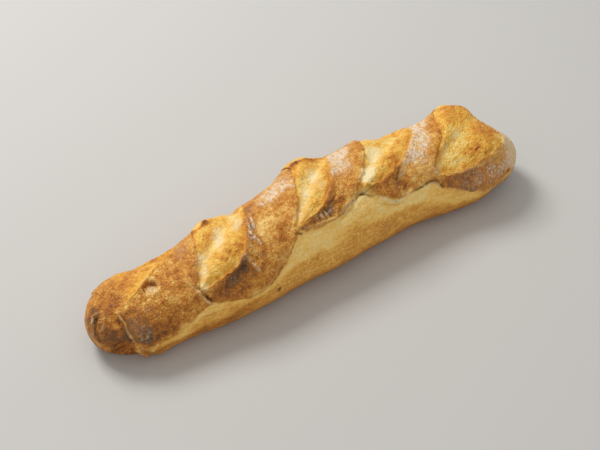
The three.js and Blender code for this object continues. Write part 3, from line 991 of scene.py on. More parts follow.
BELT_MARKS = (
    # A small pit, darkened with painted shade.
    spot(-43, -91, (1.6, 1.4), relief=-0.9, crack=0.8, brown=0.3),
    spot(44, -86, (10, 5), flour=0.3, brown=0.05),
    spot(60, -68, (18, 6), brown=-0.06),
    spot(90, -70, (12, 6), brown=0.1),
    spot(20, -52, (24, 8), brown=0.04),
    line(2.2, (2, -66), (14, -60), (24, -56), (32, -54), brown=0.12),
    spot(-20, -86, (34, 8), speckle=0.9),
    spot(30, -84, (34, 9), speckle=0.9),
    # Painted shade on the low belt where it turns under towards the floor.
    spot(-84, -94, (26, 11), brown=0.28),
    spot(-124, -80, (14, 6), brown=0.1, speckle=0.8),
    # Painted shade on the low belt near the floor.
    spot(-110, -98, (16, 8), brown=0.22),
    spot(30, -52, (30, 6), 0.3, brown=-0.05),
    spot(-112, -90, (12, 4), brown=-0.12),
    line(1, (-62, -80), (-52, -74), (-44, -64), (-38, -54), (-30, -49), cream=0.35),
)

MARKS = (
    *NEAR_END_MARKS, *STRAP_1_MARKS, *SLASH_2_MARKS, *STRAP_2_MARKS, *SLASH_3_MARKS,
    *STRAP_3_MARKS, *SLASH_4_MARKS, *STRAP_4_MARKS, *SLASH_5_MARKS, *FAR_END_MARKS,
    *BELT_MARKS,
)


# ---- The loaf's mesh -------------------------------------------------------------------


@dataclass(frozen=True)
class MeshDensity:
    """How finely the loaf's skin is divided."""

    near_cap: int = 20
    far_cap: int = 26
    insides: tuple[int, ...] = (42, 46, 36, 46, 52)
    straps: tuple[int, ...] = (44, 46, 32, 30)
    wall: int = 3
    wall_half_width: float = 0.6
    narrowest_lane: float = 0.3
    rows_upper: int = 164
    rows_under: int = 38
    upper_front: float = -105.0
    upper_back: float = 100.0
    run_on: float = 10.0
    straightens: Pair = (95.0, 175.0)

    def rows(self) -> Field:
        """The angle of each row, unwrapped past +180 under the loaf."""
        upper = np.linspace(self.upper_front, self.upper_back, self.rows_upper, endpoint=False)
        last = self.upper_front + FULL_TURN
        under = np.linspace(self.upper_back, last, self.rows_under, endpoint=False)
        return np.concatenate([upper, under])

    def lane(self, slash: Slash, around: float) -> Pair:
        """Where the rings along a slash's two rims cross one row."""
        held = min(max(around, slash.front - self.run_on), slash.back + self.run_on)
        straight = float(smooth(*self.straightens, np.float64(abs(around))))
        line = blend(slash.leaning_line(held), slash.crown, straight)
        width = max(float(slash.width_at(around)), slash.width * self.narrowest_lane)
        near = line - slash.bias * width
        return near, near + width

    def ring_places(self, around: float, form: LoafForm) -> list[float]:
        """The X of every ring on one row, from the near tip to the far tip."""
        stops: list[float] = []
        counts: list[int] = []
        for index, slash in enumerate(SLASHES):
            for rim in self.lane(slash, around):
                stops += [rim - self.wall_half_width, rim + self.wall_half_width]
            counts += [self.wall, self.insides[index], self.wall]
            if index < len(self.straps):
                counts.append(self.straps[index])
        share = 1.0 - np.cos(np.linspace(0, np.pi / 2, self.near_cap, endpoint=False)[1:])
        places = list(blend(form.near_end, stops[0], share))
        for start, end, count in zip(stops[:-1], stops[1:], counts):
            places += list(np.linspace(start, end, count, endpoint=False))
        share = np.sin(np.linspace(0, np.pi / 2, self.far_cap, endpoint=False))
        return places + list(blend(stops[-1], form.far_end, share))


@dataclass(frozen=True)
class DoughNoise:
    """The layers of noise that make the dough uneven, in millimetres where they move it."""

    fray: Layers = (Layer(0.9, 3.4, 51.0), Layer(0.6, 1.5, 84.0))
    stray: Layers = (Layer(5.0, (11.0, 6.0, 6.0), 33.0, 2),)
    ear: Layers = (Layer(1.0, 2.6, 7.0),)
    ragged: Layers = (Layer(1.3, 4.5, 60.0), Layer(0.7, 1.8, 75.0))
    frayed: Layers = (Layer(1.3, 4.5, 25.0), Layer(0.7, 1.8, 12.0))
    gaps: Layers = (Layer(0.55, 3.6, 9.0, 2),)
    crust: Layers = (Layer(0.36, 5.5), Layer(0.34, 2.6, 20.0), Layer(0.22, 1.4, 40.0))
    bulges: Layers = (Layer(0.5, 5.5), Layer(0.28, 2.6, 20.0), Layer(0.12, 1.4, 40.0))
    belt: Layers = (Layer(0.22, 5.5), Layer(0.14, 2.6, 20.0), Layer(0.1, 1.4, 40.0))
    wander_along: Layers = (Layer(0.9, 9.0), Layer(0.35, 2.6, 30.0))
    wander_around: Layers = (Layer(0.9, 9.0, 90.0), Layer(0.35, 2.6, 120.0))
    wrinkles: Layers = (Layer(2.0, 5.0, 33.0),)
    low_belt: Layers = (Layer(5.0, (26.0, 8.0, 8.0)),)
    edge: Layers = (Layer(0.5, 5.0),)
    patches: Layers = (Layer(0.9, 5.0, 15.0, 2),)


@dataclass(frozen=True)
class Wrinkles:
    """Wrinkles over one patch of pulled crust."""

    where: Patch
    lean: float
    wavelength: float
    height: float


WRINKLES = (
    Wrinkles(Patch(-2.0, -33.0, (15.0, 6.0), 1.0, 0.6), 0.35, 2.6, 0.45),
    Wrinkles(Patch(-68.0, -44.0, (16.0, 9.0), 1.0, 0.8), 0.7, 2.8, 0.35),
    Wrinkles(Patch(64.0, -30.0, (6.0, 13.0), 1.0, 0.4), -0.5, 2.4, 0.4),
    Wrinkles(Patch(120.0, -68.0, (30.0, 14.0), 1.0), 0.15, 3.0, 0.25),
    Wrinkles(Patch(-49.0, -16.0, (6.0, 18.0), 1.0, 0.5), 0.6, 3.2, 0.3),
)


@dataclass(frozen=True)
class Browning:
    """How brown and how pale each part of the loaf baked, from 0 to about 1.

    Under the loaf the brown is partly the darker stone-baked base and partly painted
    shade where it meets the floor. Values called "fades", "starts" or "blend" are the
    pair of places between which a part comes in; values called "reach" are how far it
    spreads, in millimetres.
    """

    crust: Pair = (0.46, 0.4)
    crust_blend: Pair = (-100.0, -65.0)
    belt: float = 0.13
    low_belt: float = 0.33
    low_belt_blend: Pair = (4.0, -8.0)
    bulge: float = 0.36
    bulge_starts: Pair = (0.0, 0.3)
    crease: float = 0.05
    crease_reach: float = 0.2
    far_edge: float = 0.1
    far_edge_reach: float = 4.0
    near_edge: float = 0.16
    near_edge_reach: float = 1.4
    first_slash: float = 0.22
    first_slash_blend: Pair = (2.0, 22.0)
    ears: float = 0.1
    ears_reach: float = 1.6
    ears_overhang: Pair = (0.0, 0.4)
    ears_start: Pair = (0.3, 0.7)
    # partly the browner stone-baked base, partly painted shade where the loaf meets the floor
    under: float = 0.7
    under_back: Pair = (105.0, 140.0)
    under_front: Pair = (-92.0, -118.0)
    pale_edge: float = 0.35
    pale_edge_height: float = 0.2
    pale_edge_reach: float = 0.9
    pale_bulges: float = 0.32
    pale_patches: float = 0.55
    char_lost_inside: float = 0.9
    most: float = 1.2


@dataclass
class Crust:
    """Everything about the crust at a set of places: its points and its looks."""

    form: LoafForm
    grain: Grain
    belt: BeltEdge = field(default_factory=BeltEdge)
    fold: NearEndFold = field(default_factory=NearEndFold)
    bubble: BurstBubble = field(default_factory=BurstBubble)
    waves: Waves = field(default_factory=Waves)
    noise: DoughNoise = field(default_factory=DoughNoise)
    browning: Browning = field(default_factory=Browning)
    ear_overhang: float = 1.3
    tear: tuple[Pair, ...] = ((12, -45), (22, -38), (32, -31.5), (37, -36))
    tear_depth: float = 2.4
    tear_reach: float = 2.2
    soft_step: float = 0.4
    relief_fades: Pair = (125.0, 150.0)
    streak_wander: Pair = (0.3, 0.4)
    streak_gaps: Triple = (0.85, 0.4, 1.1)
    belt_low: tuple[tuple[float, ...], tuple[float, ...]] = (
        (-150, -110, -75, -45, -28, 0, 22, 45, 75, 110, 140),
        (-98, -96, -92, -82, -68, -70, -63, -68, -76, -98, -112),
    )

    def shape(self, along: Field, around: Field) -> tuple[Field, dict[str, Field]]:
        """Points of the crust and its looks at each place.

        Args:
            along: Places along the loaf.
            around: Angles of those places, from -180 to 180.

        Returns:
            The points in millimetres, and the looks by name.
        """
        place = self.form.core(along, around)
        fray = self.grain.summed(place, self.noise.fray)
        parts = [slash.fields(along, around, fray) for slash in SLASHES]
        height = np.zeros(np.shape(along))
        outside = np.zeros(np.shape(along))
        uncut = np.ones(np.shape(along))
        overhang = np.zeros(np.shape(along))
        for part in parts:
            height += part.within * part.inside
            outside += part.outside
            uncut *= 1.0 - part.within
            overhang += part.overhang
        inside = 1.0 - uncut
        height += uncut * outside
        tear = bell(distance_to(self.tear, along, around) / self.tear_reach)
        height -= self.tear_depth * tear
        stray = self.grain.summed(place, self.noise.stray)
        on_belt = self.belt.shows(along, around, fray, stray)
        height -= self.belt.step * on_belt * blend(self.soft_step, 1.0, self.belt.crisp(along))
        height += self.fold.relief(along, around, along - self.form.near_end)
        height += total(SWELLINGS, along, around)
        height += self.bubble.relief(along, around)
        height += self.waves.relief(along, around)

        height += self.dough_grain(place, inside, on_belt)
        height += overhang * self.grain.summed(place, self.noise.ear)

        fade = (1.0 - smooth(*self.relief_fades, np.abs(around))) * self.form.tip_fade(along)
        marks = self.marked(along, around, place)
        height += marks["relief"] + self.bark(along, around, place, inside, on_belt)
        shift = self.wander(place) * fade[..., None]
        warped_along = along + shift[..., 0]
        warped_around = around + shift[..., 1] / MM_PER_DEGREE
        points = self.form.core(warped_along, warped_around)
        points += self.form.normals(warped_along, warped_around) * (height * fade)[..., None]
        points[..., 0] += overhang * self.ear_overhang
        points[..., 2] = np.maximum(points[..., 2], 0.0)
        looks = self.looks(along, around, place, parts, inside, on_belt, marks)
        return points, looks

    def marked(self, along: Field, around: Field, place: Field) -> dict[str, Field]:
        """What all the listed marks add at each place.

        Args:
            along: Places along the loaf.
            around: Angles of those places.
            place: Points of the smooth loaf there, in millimetres.

        Returns:
            The sums of the marks' relief and looks, by name.
        """
        names = ("relief", "brown", "cream", "flour", "char", "crack", "speckle")
        sums = {name: np.zeros(np.shape(along)) for name in names}
        ragged = self.grain.summed(place, self.noise.ragged)
        frayed = self.grain.summed(place, self.noise.frayed)
        mean, least, most = self.streak_gaps
        gaps = np.clip(mean + self.grain.summed(place, self.noise.gaps), least, most)
        streak_along = along + self.streak_wander[0] * ragged
        streak_around = around + self.streak_wander[1] * frayed
        for mark in MARKS:
            if isinstance(mark.where, Patch):
                value = mark.where.at(along + ragged, around + frayed / MM_PER_DEGREE)
            else:
                value = mark.where.at(streak_along, streak_around) * gaps
            for name in names:
                amount = getattr(mark, name)
                if amount:
                    sums[name] += amount * value
        return sums

    def bark(
        self, along: Field, around: Field, place: Field, inside: Field, on_belt: Field
    ) -> Field:
        """Wrinkles across the dark tongues, where the crust was pulled.

        Args:
            along: Places along the loaf.
            around: Angles of those places.
            place: Points of the smooth loaf there.
            inside: How far a place is inside a slash.
            on_belt: How far a place is on the belt.

        Returns:
            The wrinkles' height in millimetres.
        """
        wavy = self.grain.summed(place, self.noise.wrinkles)
        height = np.zeros(np.shape(along))
        for wrinkles in WRINKLES:
            travel = along + wrinkles.lean * around * MM_PER_DEGREE + wavy
            swing = np.sin(travel * 2.0 * np.pi / wrinkles.wavelength)
            height += wrinkles.height * wrinkles.where.at(along, around) * swing
        return height * (1.0 - inside) * (1.0 - on_belt)

    def dough_grain(self, place: Field, inside: Field, on_belt: Field) -> Field:
        """Fine unevenness of the crust, the bulges and the belt."""
        crust = self.grain.summed(place, self.noise.crust)
        bulges = self.grain.summed(place, self.noise.bulges)
        belt = self.grain.summed(place, self.noise.belt)
        return blend(blend(crust, bulges, inside), belt, on_belt)

    def wander(self, place: Field) -> Field:
        """How far the rims and edges wander along and around, in millimetres."""
        ways = (self.noise.wander_along, self.noise.wander_around)
        return np.stack([self.grain.summed(place, layers) for layers in ways], axis=-1)

    def looks(
        self,
        along: Field,
        around: Field,
        place: Field,
        parts: Sequence[SlashFields],
        inside: Field,
        on_belt: Field,
        marks: dict[str, Field],
    ) -> dict[str, Field]:
        """The looks of the crust at each place.

        Args:
            along: Places along the loaf.
            around: Angles of those places.
            place: Points of the smooth loaf there.
            parts: The five slashes' fields.
            inside: How far a place is inside a slash.
            on_belt: How far a place is on the belt.
            marks: What the listed marks add.

        Returns:
            Values of 0 to 1 for each look.
        """
        baked = self.browning
        low_line = np.interp(along, self.belt_low[0], self.belt_low[1])
        under_line = around + self.grain.summed(place, self.noise.low_belt) - low_line
        belt_brown = baked.belt + baked.low_belt * smooth(*baked.low_belt_blend, under_line)
        bulge_brown = np.full(np.shape(along), baked.bulge)
        ears = np.zeros(np.shape(along))
        drawn = np.zeros(np.shape(along))
        for part in parts:
            present = part.within * smooth(*baked.bulge_starts, part.share)
            middle = bell((part.across - part.valley) / baked.crease_reach) * present
            bulge_brown = bulge_brown - baked.crease * middle
            bulge_brown += baked.far_edge * bell(part.to_far / baked.far_edge_reach) * present
            bulge_brown += baked.near_edge * bell(part.to_near / baked.near_edge_reach) * present
            if part is not parts[0]:
                if part is not parts[-1]:
                    drawn = np.maximum(drawn, middle)
                rim = bell(part.to_near / baked.ears_reach)
                rim = rim * smooth(*baked.ears_overhang, part.overhang)
                ears = np.maximum(ears, rim * smooth(*baked.ears_start, part.share))
        bulge_brown = bulge_brown + baked.first_slash * parts[0].within
        tip_blend = smooth(*baked.first_slash_blend, parts[0].to_near)
        inside = inside * blend(1.0, tip_blend, parts[0].within)
        crust_brown = blend(*baked.crust, smooth(*baked.crust_blend, along))
        brown = blend(crust_brown, bulge_brown, inside)
        brown = blend(brown, belt_brown, on_belt)
        brown = brown + marks["brown"] + baked.ears * ears
        # Darker underside: partly the browner stone-baked base, partly painted shade near the
        # floor.
        under = smooth(*baked.under_back, around)
        under = np.maximum(under, smooth(*baked.under_front, around))
        brown = blend(brown, baked.under, under)
        over_edge = self.belt.above(along, around) - baked.pale_edge_height
        edge = bell(over_edge / baked.pale_edge_reach) * self.belt.crisp(along)
        edge = np.where(around < self.belt.highest, edge, 0.0)
        edge = edge * (0.5 + self.grain.summed(place, self.noise.edge))
        # the bubble's painted shade over its opening, less its pale floor and rim
        bubble_shade_and_paleness, bubble_cream = self.bubble.colours(along, around)
        brown = brown + bubble_shade_and_paleness
        patchy = baked.pale_patches + self.grain.summed(place, self.noise.patches)
        patchy = np.clip(patchy, 0.0, baked.most)
        cream = marks["cream"] + baked.pale_edge * edge + bubble_cream
        cream = cream + baked.pale_bulges * drawn * patchy
        char = np.clip(marks["char"], 0.0, 1.0) * (1.0 - baked.char_lost_inside * inside)
        return {
            "inside": inside,
            "on_belt": on_belt,
            "brown": brown,
            "cream": np.clip(cream, 0.0, baked.most),
            "flour": np.clip(marks["flour"], 0.0, baked.most) * (1.0 - inside),
            "char": char,
            "crack": np.clip(marks["crack"], 0.0, 1.0),
            "speckle": np.clip(marks["speckle"], 0.0, 1.0),
        }


# ---- Shader maths ----------------------------------------------------------------------


class Wire:
    """A value or colour in a material that can be used in Python expressions."""

    def __init__(self, graph: "MaterialGraph", socket: bpy.types.NodeSocket) -> None:
        """Wraps an output socket of the graph's nodes."""
        self.graph = graph
        self.socket = socket

    def _math(self, operation: str, first: "Value", second: "Value" = 0.0) -> "Wire":
        """Adds one Math node."""
        return self.graph.add("ShaderNodeMath", {"operation": operation}, {0: first, 1: second})

    def __add__(self, other: "Value") -> "Wire":
        """This value plus another."""
        return self._math("ADD", self, other)

    def __radd__(self, other: "Value") -> "Wire":
        """Another value plus this one."""
        return self._math("ADD", other, self)

    def __sub__(self, other: "Value") -> "Wire":
        """This value minus another."""
        return self._math("SUBTRACT", self, other)

    def __rsub__(self, other: "Value") -> "Wire":
        """Another value minus this one."""
        return self._math("SUBTRACT", other, self)

    def __mul__(self, other: "Value") -> "Wire":
        """This value times another."""
        return self._math("MULTIPLY", self, other)

    def __rmul__(self, other: "Value") -> "Wire":
        """Another value times this one."""
        return self._math("MULTIPLY", other, self)

    def smooth(self, low: float, high: float) -> "Wire":
        """A soft step from 0 at low to 1 at high."""
        settings = {"interpolation_type": "SMOOTHSTEP"}
        inputs = {"Value": self, "From Min": low, "From Max": high}
        return self.graph.add("ShaderNodeMapRange", settings, inputs)

    def clamped(self) -> "Wire":
        """This value held between 0 and 1."""
        return self.graph.add("ShaderNodeClamp", {}, {"Value": self})


Value = Union[Wire, float]


@dataclass(frozen=True)
class Band:
    """A noise of one lump size in millimetres: its detail, roughness and contrast."""

    size: float
    detail: float = 2.0
    rough: float = 0.5
    contrast: Pair = (0.3, 0.7)
    sharpened: bool = True


class MaterialGraph:
    """The nodes of one material."""

    MIDDLE = 0.5  # what a noise is on average, before it is centred on 0

    def __init__(self, name: str) -> None:
        """Starts a material with nothing but its shader.

        Args:
            name: The material's name.
        """
        self.material = bpy.data.materials.new(name)
        self.material.use_nodes = True
        self.tree = self.material.node_tree
        self.shader = self.tree.nodes["Principled BSDF"]

    def add(
        self,
        kind: str,
        settings: dict[str, object],
        inputs: dict[Union[int, str], Union[Value, Colour, Sequence[float]]],
        output: Union[int, str] = 0,
    ) -> Wire:
        """Adds a node.

        Args:
            kind: The node's type.
            settings: Its settings; "stops" are a ramp's places and colours.
            inputs: Values or wires for its sockets.
            output: Which of its outputs to return.

        Returns:
            The wire from that output.
        """
        node = self.tree.nodes.new(kind)
        for key, value in settings.items():
            if key == "stops":
                self._set_stops(node, value)
            else:
                setattr(node, key, value)
        for key, value in inputs.items():
            socket = node.inputs[key]
            if isinstance(value, Wire):
                self.tree.links.new(value.socket, socket)
            elif isinstance(value, tuple) and len(value) == 3 and socket.type == "RGBA":
                socket.default_value = (*value, 1.0)
            else:
                socket.default_value = value
        return Wire(self, node.outputs[output])

    def _set_stops(self, node: bpy.types.Node, stops: Sequence[tuple[float, Colour]]) -> None:
        """Sets a colour ramp's stops."""
        elements = node.color_ramp.elements
        while len(elements) < len(stops):
            elements.new(0.5)
        for element, (place, colour) in zip(elements, stops):
            element.position = place
            element.color = (*colour, 1.0)

    def look(self, name: str) -> Wire:
        """A look that the mesh carries at its points."""
        return self.add("ShaderNodeAttribute", {"attribute_name": name}, {}, "Fac")

    def noise(self, places: Wire, band: Band) -> Wire:
        """A noise of about -0.5 to 0.5 at some places."""
        inputs = {"Vector": places, "Scale": 1.0 / (band.size * METRES)}
        inputs |= {"Detail": band.detail, "Roughness": band.rough}
        value = self.add("ShaderNodeTexNoise", {}, inputs)
        if band.sharpened:
            value = value.smooth(*band.contrast)
        return value - self.MIDDLE

    def stretched(self, places: Wire, stretch: Triple) -> Wire:
        """Places drawn out, so that what they carry turns into streaks."""
        return self.add("ShaderNodeVectorMath", {"operation": "MULTIPLY"}, {0: places, 1: stretch})

    def mix(self, share: Value, start: Union[Wire, Colour], end: Union[Wire, Colour]) -> Wire:
        """A colour that lies a share of the way from start to end."""
        settings = {"data_type": "RGBA", "clamp_factor": True}
        return self.add("ShaderNodeMix", settings, {0: share, 6: start, 7: end}, 2)

    def ramp(self, value: Value, stops: Sequence[tuple[float, Colour]]) -> Wire:
        """The colour at a value on a ramp of stops."""
        return self.add("ShaderNodeValToRGB", {"stops": stops}, {"Fac": value})

    def finish_with(self, inputs: dict[str, Union[Value, Colour]]) -> None:
        """Feeds the shader's own sockets."""
        for key, value in inputs.items():
            if isinstance(value, Wire):
                self.tree.links.new(value.socket, self.shader.inputs[key])
            else:
                self.shader.inputs[key].default_value = value


@dataclass(frozen=True)
class ScreenCurve:
    """How a screen turns its 0 to 255 numbers into light."""

    whole: float = 255.0
    knee: float = 0.04045
    slope: float = 12.92
    lift: float = 0.055
    power: float = 2.4

    def light(self, part: int) -> float:
        """The light of one number."""
        share = part / self.whole
        if share <= self.knee:
            return share / self.slope
        return ((share + self.lift) / (1.0 + self.lift)) ** self.power


def shade(red: int, green: int, blue: int) -> Colour:
    """A colour from the numbers it has on a screen, as linear light."""
    curve = ScreenCurve()
    return curve.light(red), curve.light(green), curve.light(blue)


Strengths = tuple[float, float, float, float]


class Mottle:
    """Several noises of a material that are mixed in different strengths."""

    def __init__(self, graph: MaterialGraph, places: Wire, bands: Sequence[Band]) -> None:
        """Adds the noises' nodes.

        Args:
            graph: The material's nodes.
            places: Where on the loaf the noises are read.
            bands: The noises, from broad to grit.
        """
        self.noises = [graph.noise(places, band) for band in bands]

    def over(self, base: Value, strengths: Strengths) -> Wire:
        """A value made uneven, by how strongly each of the noises shows in it."""
        for noise, strength in zip(self.noises, strengths):
            if strength:
                base = base + noise * strength
        return base


@dataclass(frozen=True)
class BakedCrustFinish:
    """Baked wheat crust: browned straps, golden bulges, pale belt, flour and char, with painted
    shade in cracks, gaps and holes.
    """

    crust_stops: tuple[tuple[float, Colour], ...] = (
        (0.0, shade(250, 222, 156)),
        (0.2, shade(238, 190, 104)),
        (0.35, shade(222, 160, 74)),
        (0.5, shade(202, 130, 46)),
        (0.65, shade(172, 104, 40)),
        (0.8, shade(130, 80, 38)),
        (1.0, shade(76, 50, 30)),
    )
    bulge_stops: tuple[tuple[float, Colour], ...] = (
        (0.0, shade(250, 232, 180)),
        (0.2, shade(247, 212, 120)),
        (0.4, shade(239, 179, 68)),
        (0.6, shade(217, 144, 52)),
        (0.8, shade(182, 107, 38)),
        (1.0, shade(106, 66, 28)),
    )
    belt_stops: tuple[tuple[float, Colour], ...] = (
        (0.0, shade(255, 224, 146)),
        (0.25, shade(252, 200, 100)),
        (0.5, shade(222, 157, 66)),
        (0.75, shade(186, 118, 44)),
        (1.0, shade(112, 71, 30)),
    )
    flour: Colour = shade(238, 216, 186)
    thin_flour: Colour = shade(228, 176, 112)
    char: Colour = shade(84, 54, 28)
    ash: Colour = shade(178, 142, 100)
    cream: Colour = shade(247, 229, 180)
    thin_cream: Colour = shade(242, 200, 120)
    # painted shade for cracks, gaps and holes
    crevice_shade: Colour = shade(84, 58, 30)
    bands: tuple[Band, ...] = (
        Band(13.0, sharpened=False),
        Band(4.6, 3.0, 0.55, (0.28, 0.72)),
        Band(1.9, 2.0, 0.6),
        Band(0.85, 1.0),
    )
    in_crust: Strengths = (0.28, 0.24, 0.15, 0.14)
    in_bulge: Strengths = (0.3, 0.24, 0.15, 0.11)
    in_belt: Strengths = (0.28, 0.0, 0.14, 0.12)
    in_rims: Strengths = (0.0, 0.0, 0.4, 0.2)
    in_belt_edge: Strengths = (0.0, 0.0, 0.4, 0.0)
    in_blisters: Strengths = (0.0, 0.3, 0.0, 0.22)
    in_char: Strengths = (0.0, 0.7, 0.6, 0.0)
    in_ash: Strengths = (0.0, 0.0, 0.9, 0.6)
    in_cream: Strengths = (0.0, 0.6, 0.5, 0.0)
    in_flour: Strengths = (0.0, 0.36, 0.46, 0.36)
    in_crack_shade: Strengths = (0.0, 0.5, 0.6, 0.0)
    in_relief: Strengths = (0.0, 0.34, 0.46, 0.26)
    in_roughness: Strengths = (0.0, 0.0, 0.1, 0.0)
    belt_band: Band = Band(2.0, 3.0, 0.6)
    belt_streaks: float = 0.16
    belt_stretch: Triple = (0.3, 1.0, 1.0)
    brush_band: Band = Band(1.5, 3.0, 0.6)
    brush_strokes: float = 0.7
    brush_stretch: Triple = (1.0, 0.35, 0.6)
    blister_size: float = 0.002
    blister_edge: Pair = (0.36, 0.12)
    blister_pale: Pair = (0.06, 0.12)
    blister_pale_belt: float = 0.26
    blister_height: Pair = (0.06, 0.1)
    part_edge: Pair = (0.25, 0.75)
    crack_shade_edge: Pair = (0.1, 0.9)
    char_amount: float = 0.85
    char_cover: float = 0.85
    ash_amount: float = 0.35
    cream_amount: float = 0.9
    cream_cover: float = 0.85
    cream_thickens: float = 1.3
    flour_amount: float = 0.76
    flour_cover: float = 0.92
    flour_thickens: float = 1.6
    crack_shade_amount: float = 1.1
    crack_shade_cover: float = 0.85
    relief_depth: float = 0.001
    smoother_belt: float = 0.35
    smoother_bulge: float = 0.1
    roughness: float = 0.5
    rougher_flour: float = 0.35
    rougher_belt: float = 0.1
    gloss: float = 0.24

    def make(self) -> bpy.types.Material:
        """Builds the material."""
        graph = MaterialGraph("baked_crust")
        places = graph.add("ShaderNodeTexCoord", {}, {}, "Object")
        inside, on_belt = graph.look("inside"), graph.look("on_belt")
        brown, cream = graph.look("brown"), graph.look("cream")
        flour, char = graph.look("flour"), graph.look("char")
        speckle, crack = graph.look("speckle"), graph.look("crack")

        mottle = Mottle(graph, places, self.bands)
        along_belt = graph.noise(graph.stretched(places, self.belt_stretch), self.belt_band)
        spacing = {"Vector": places, "Scale": 1.0 / self.blister_size}
        dots = graph.add("ShaderNodeTexVoronoi", {}, spacing)
        blisters = mottle.over(dots, self.in_blisters).smooth(*self.blister_edge)
        inside = mottle.over(inside, self.in_rims).smooth(*self.part_edge)
        on_belt = mottle.over(on_belt, self.in_belt_edge).smooth(*self.part_edge)

        paler = blisters * (speckle * self.blister_pale[1] + self.blister_pale[0])
        tone = mottle.over(brown, self.in_crust) - paler
        bulge_tone = mottle.over(brown, self.in_bulge)
        belt_tone = mottle.over(brown + along_belt * self.belt_streaks, self.in_belt)
        belt_tone = belt_tone - blisters * speckle * self.blister_pale_belt
        crust = graph.ramp(tone.clamped(), self.crust_stops)
        bulge = graph.ramp(bulge_tone.clamped(), self.bulge_stops)
        belt = graph.ramp(belt_tone.clamped(), self.belt_stops)
        colour = graph.mix(on_belt, graph.mix(inside, crust, bulge), belt)

        burnt = (char * mottle.over(self.char_amount, self.in_char)).clamped()
        ashen = mottle.over(self.ash_amount, self.in_ash).clamped()
        ashes = graph.mix(ashen, self.char, self.ash)
        colour = graph.mix(burnt * self.char_cover, colour, ashes)

        pale = (cream * mottle.over(self.cream_amount, self.in_cream)).clamped()
        thick = (pale * self.cream_thickens).clamped()
        dough = graph.mix(thick, self.thin_cream, self.cream)
        colour = graph.mix(pale * self.cream_cover, colour, dough)

        brushed = graph.noise(graph.stretched(places, self.brush_stretch), self.brush_band)
        powder = brushed * self.brush_strokes + self.flour_amount
        dusting = (flour * mottle.over(powder, self.in_flour)).clamped()
        dusting = dusting * dusting
        thick = (dusting * self.flour_thickens).clamped()
        powdered = graph.mix(thick, self.thin_flour, self.flour)
        colour = graph.mix(dusting * self.flour_cover, colour, powdered)

        # Painted shade: cracks, gaps and holes darkened towards the shade colour.
        dark = crack * mottle.over(self.crack_shade_amount, self.in_crack_shade)
        dark = dark.smooth(*self.crack_shade_edge)
        colour = graph.mix(dark * self.crack_shade_cover, colour, self.crevice_shade)

        rough_skin = 1.0 - on_belt * self.smoother_belt - inside * self.smoother_bulge
        raised = blisters * (speckle * self.blister_height[1] + self.blister_height[0])
        height = mottle.over(raised, self.in_relief) * rough_skin
        bump = {"Strength": 1.0, "Distance": self.relief_depth, "Height": height}
        roughness = dusting * self.rougher_flour + on_belt * self.rougher_belt + self.roughness
        graph.finish_with({
            "Base Color": colour,
            "Roughness": mottle.over(roughness, self.in_roughness),
            "Normal": graph.add("ShaderNodeBump", {}, bump),
            "Specular IOR Level": self.gloss,
        })
        return graph.material


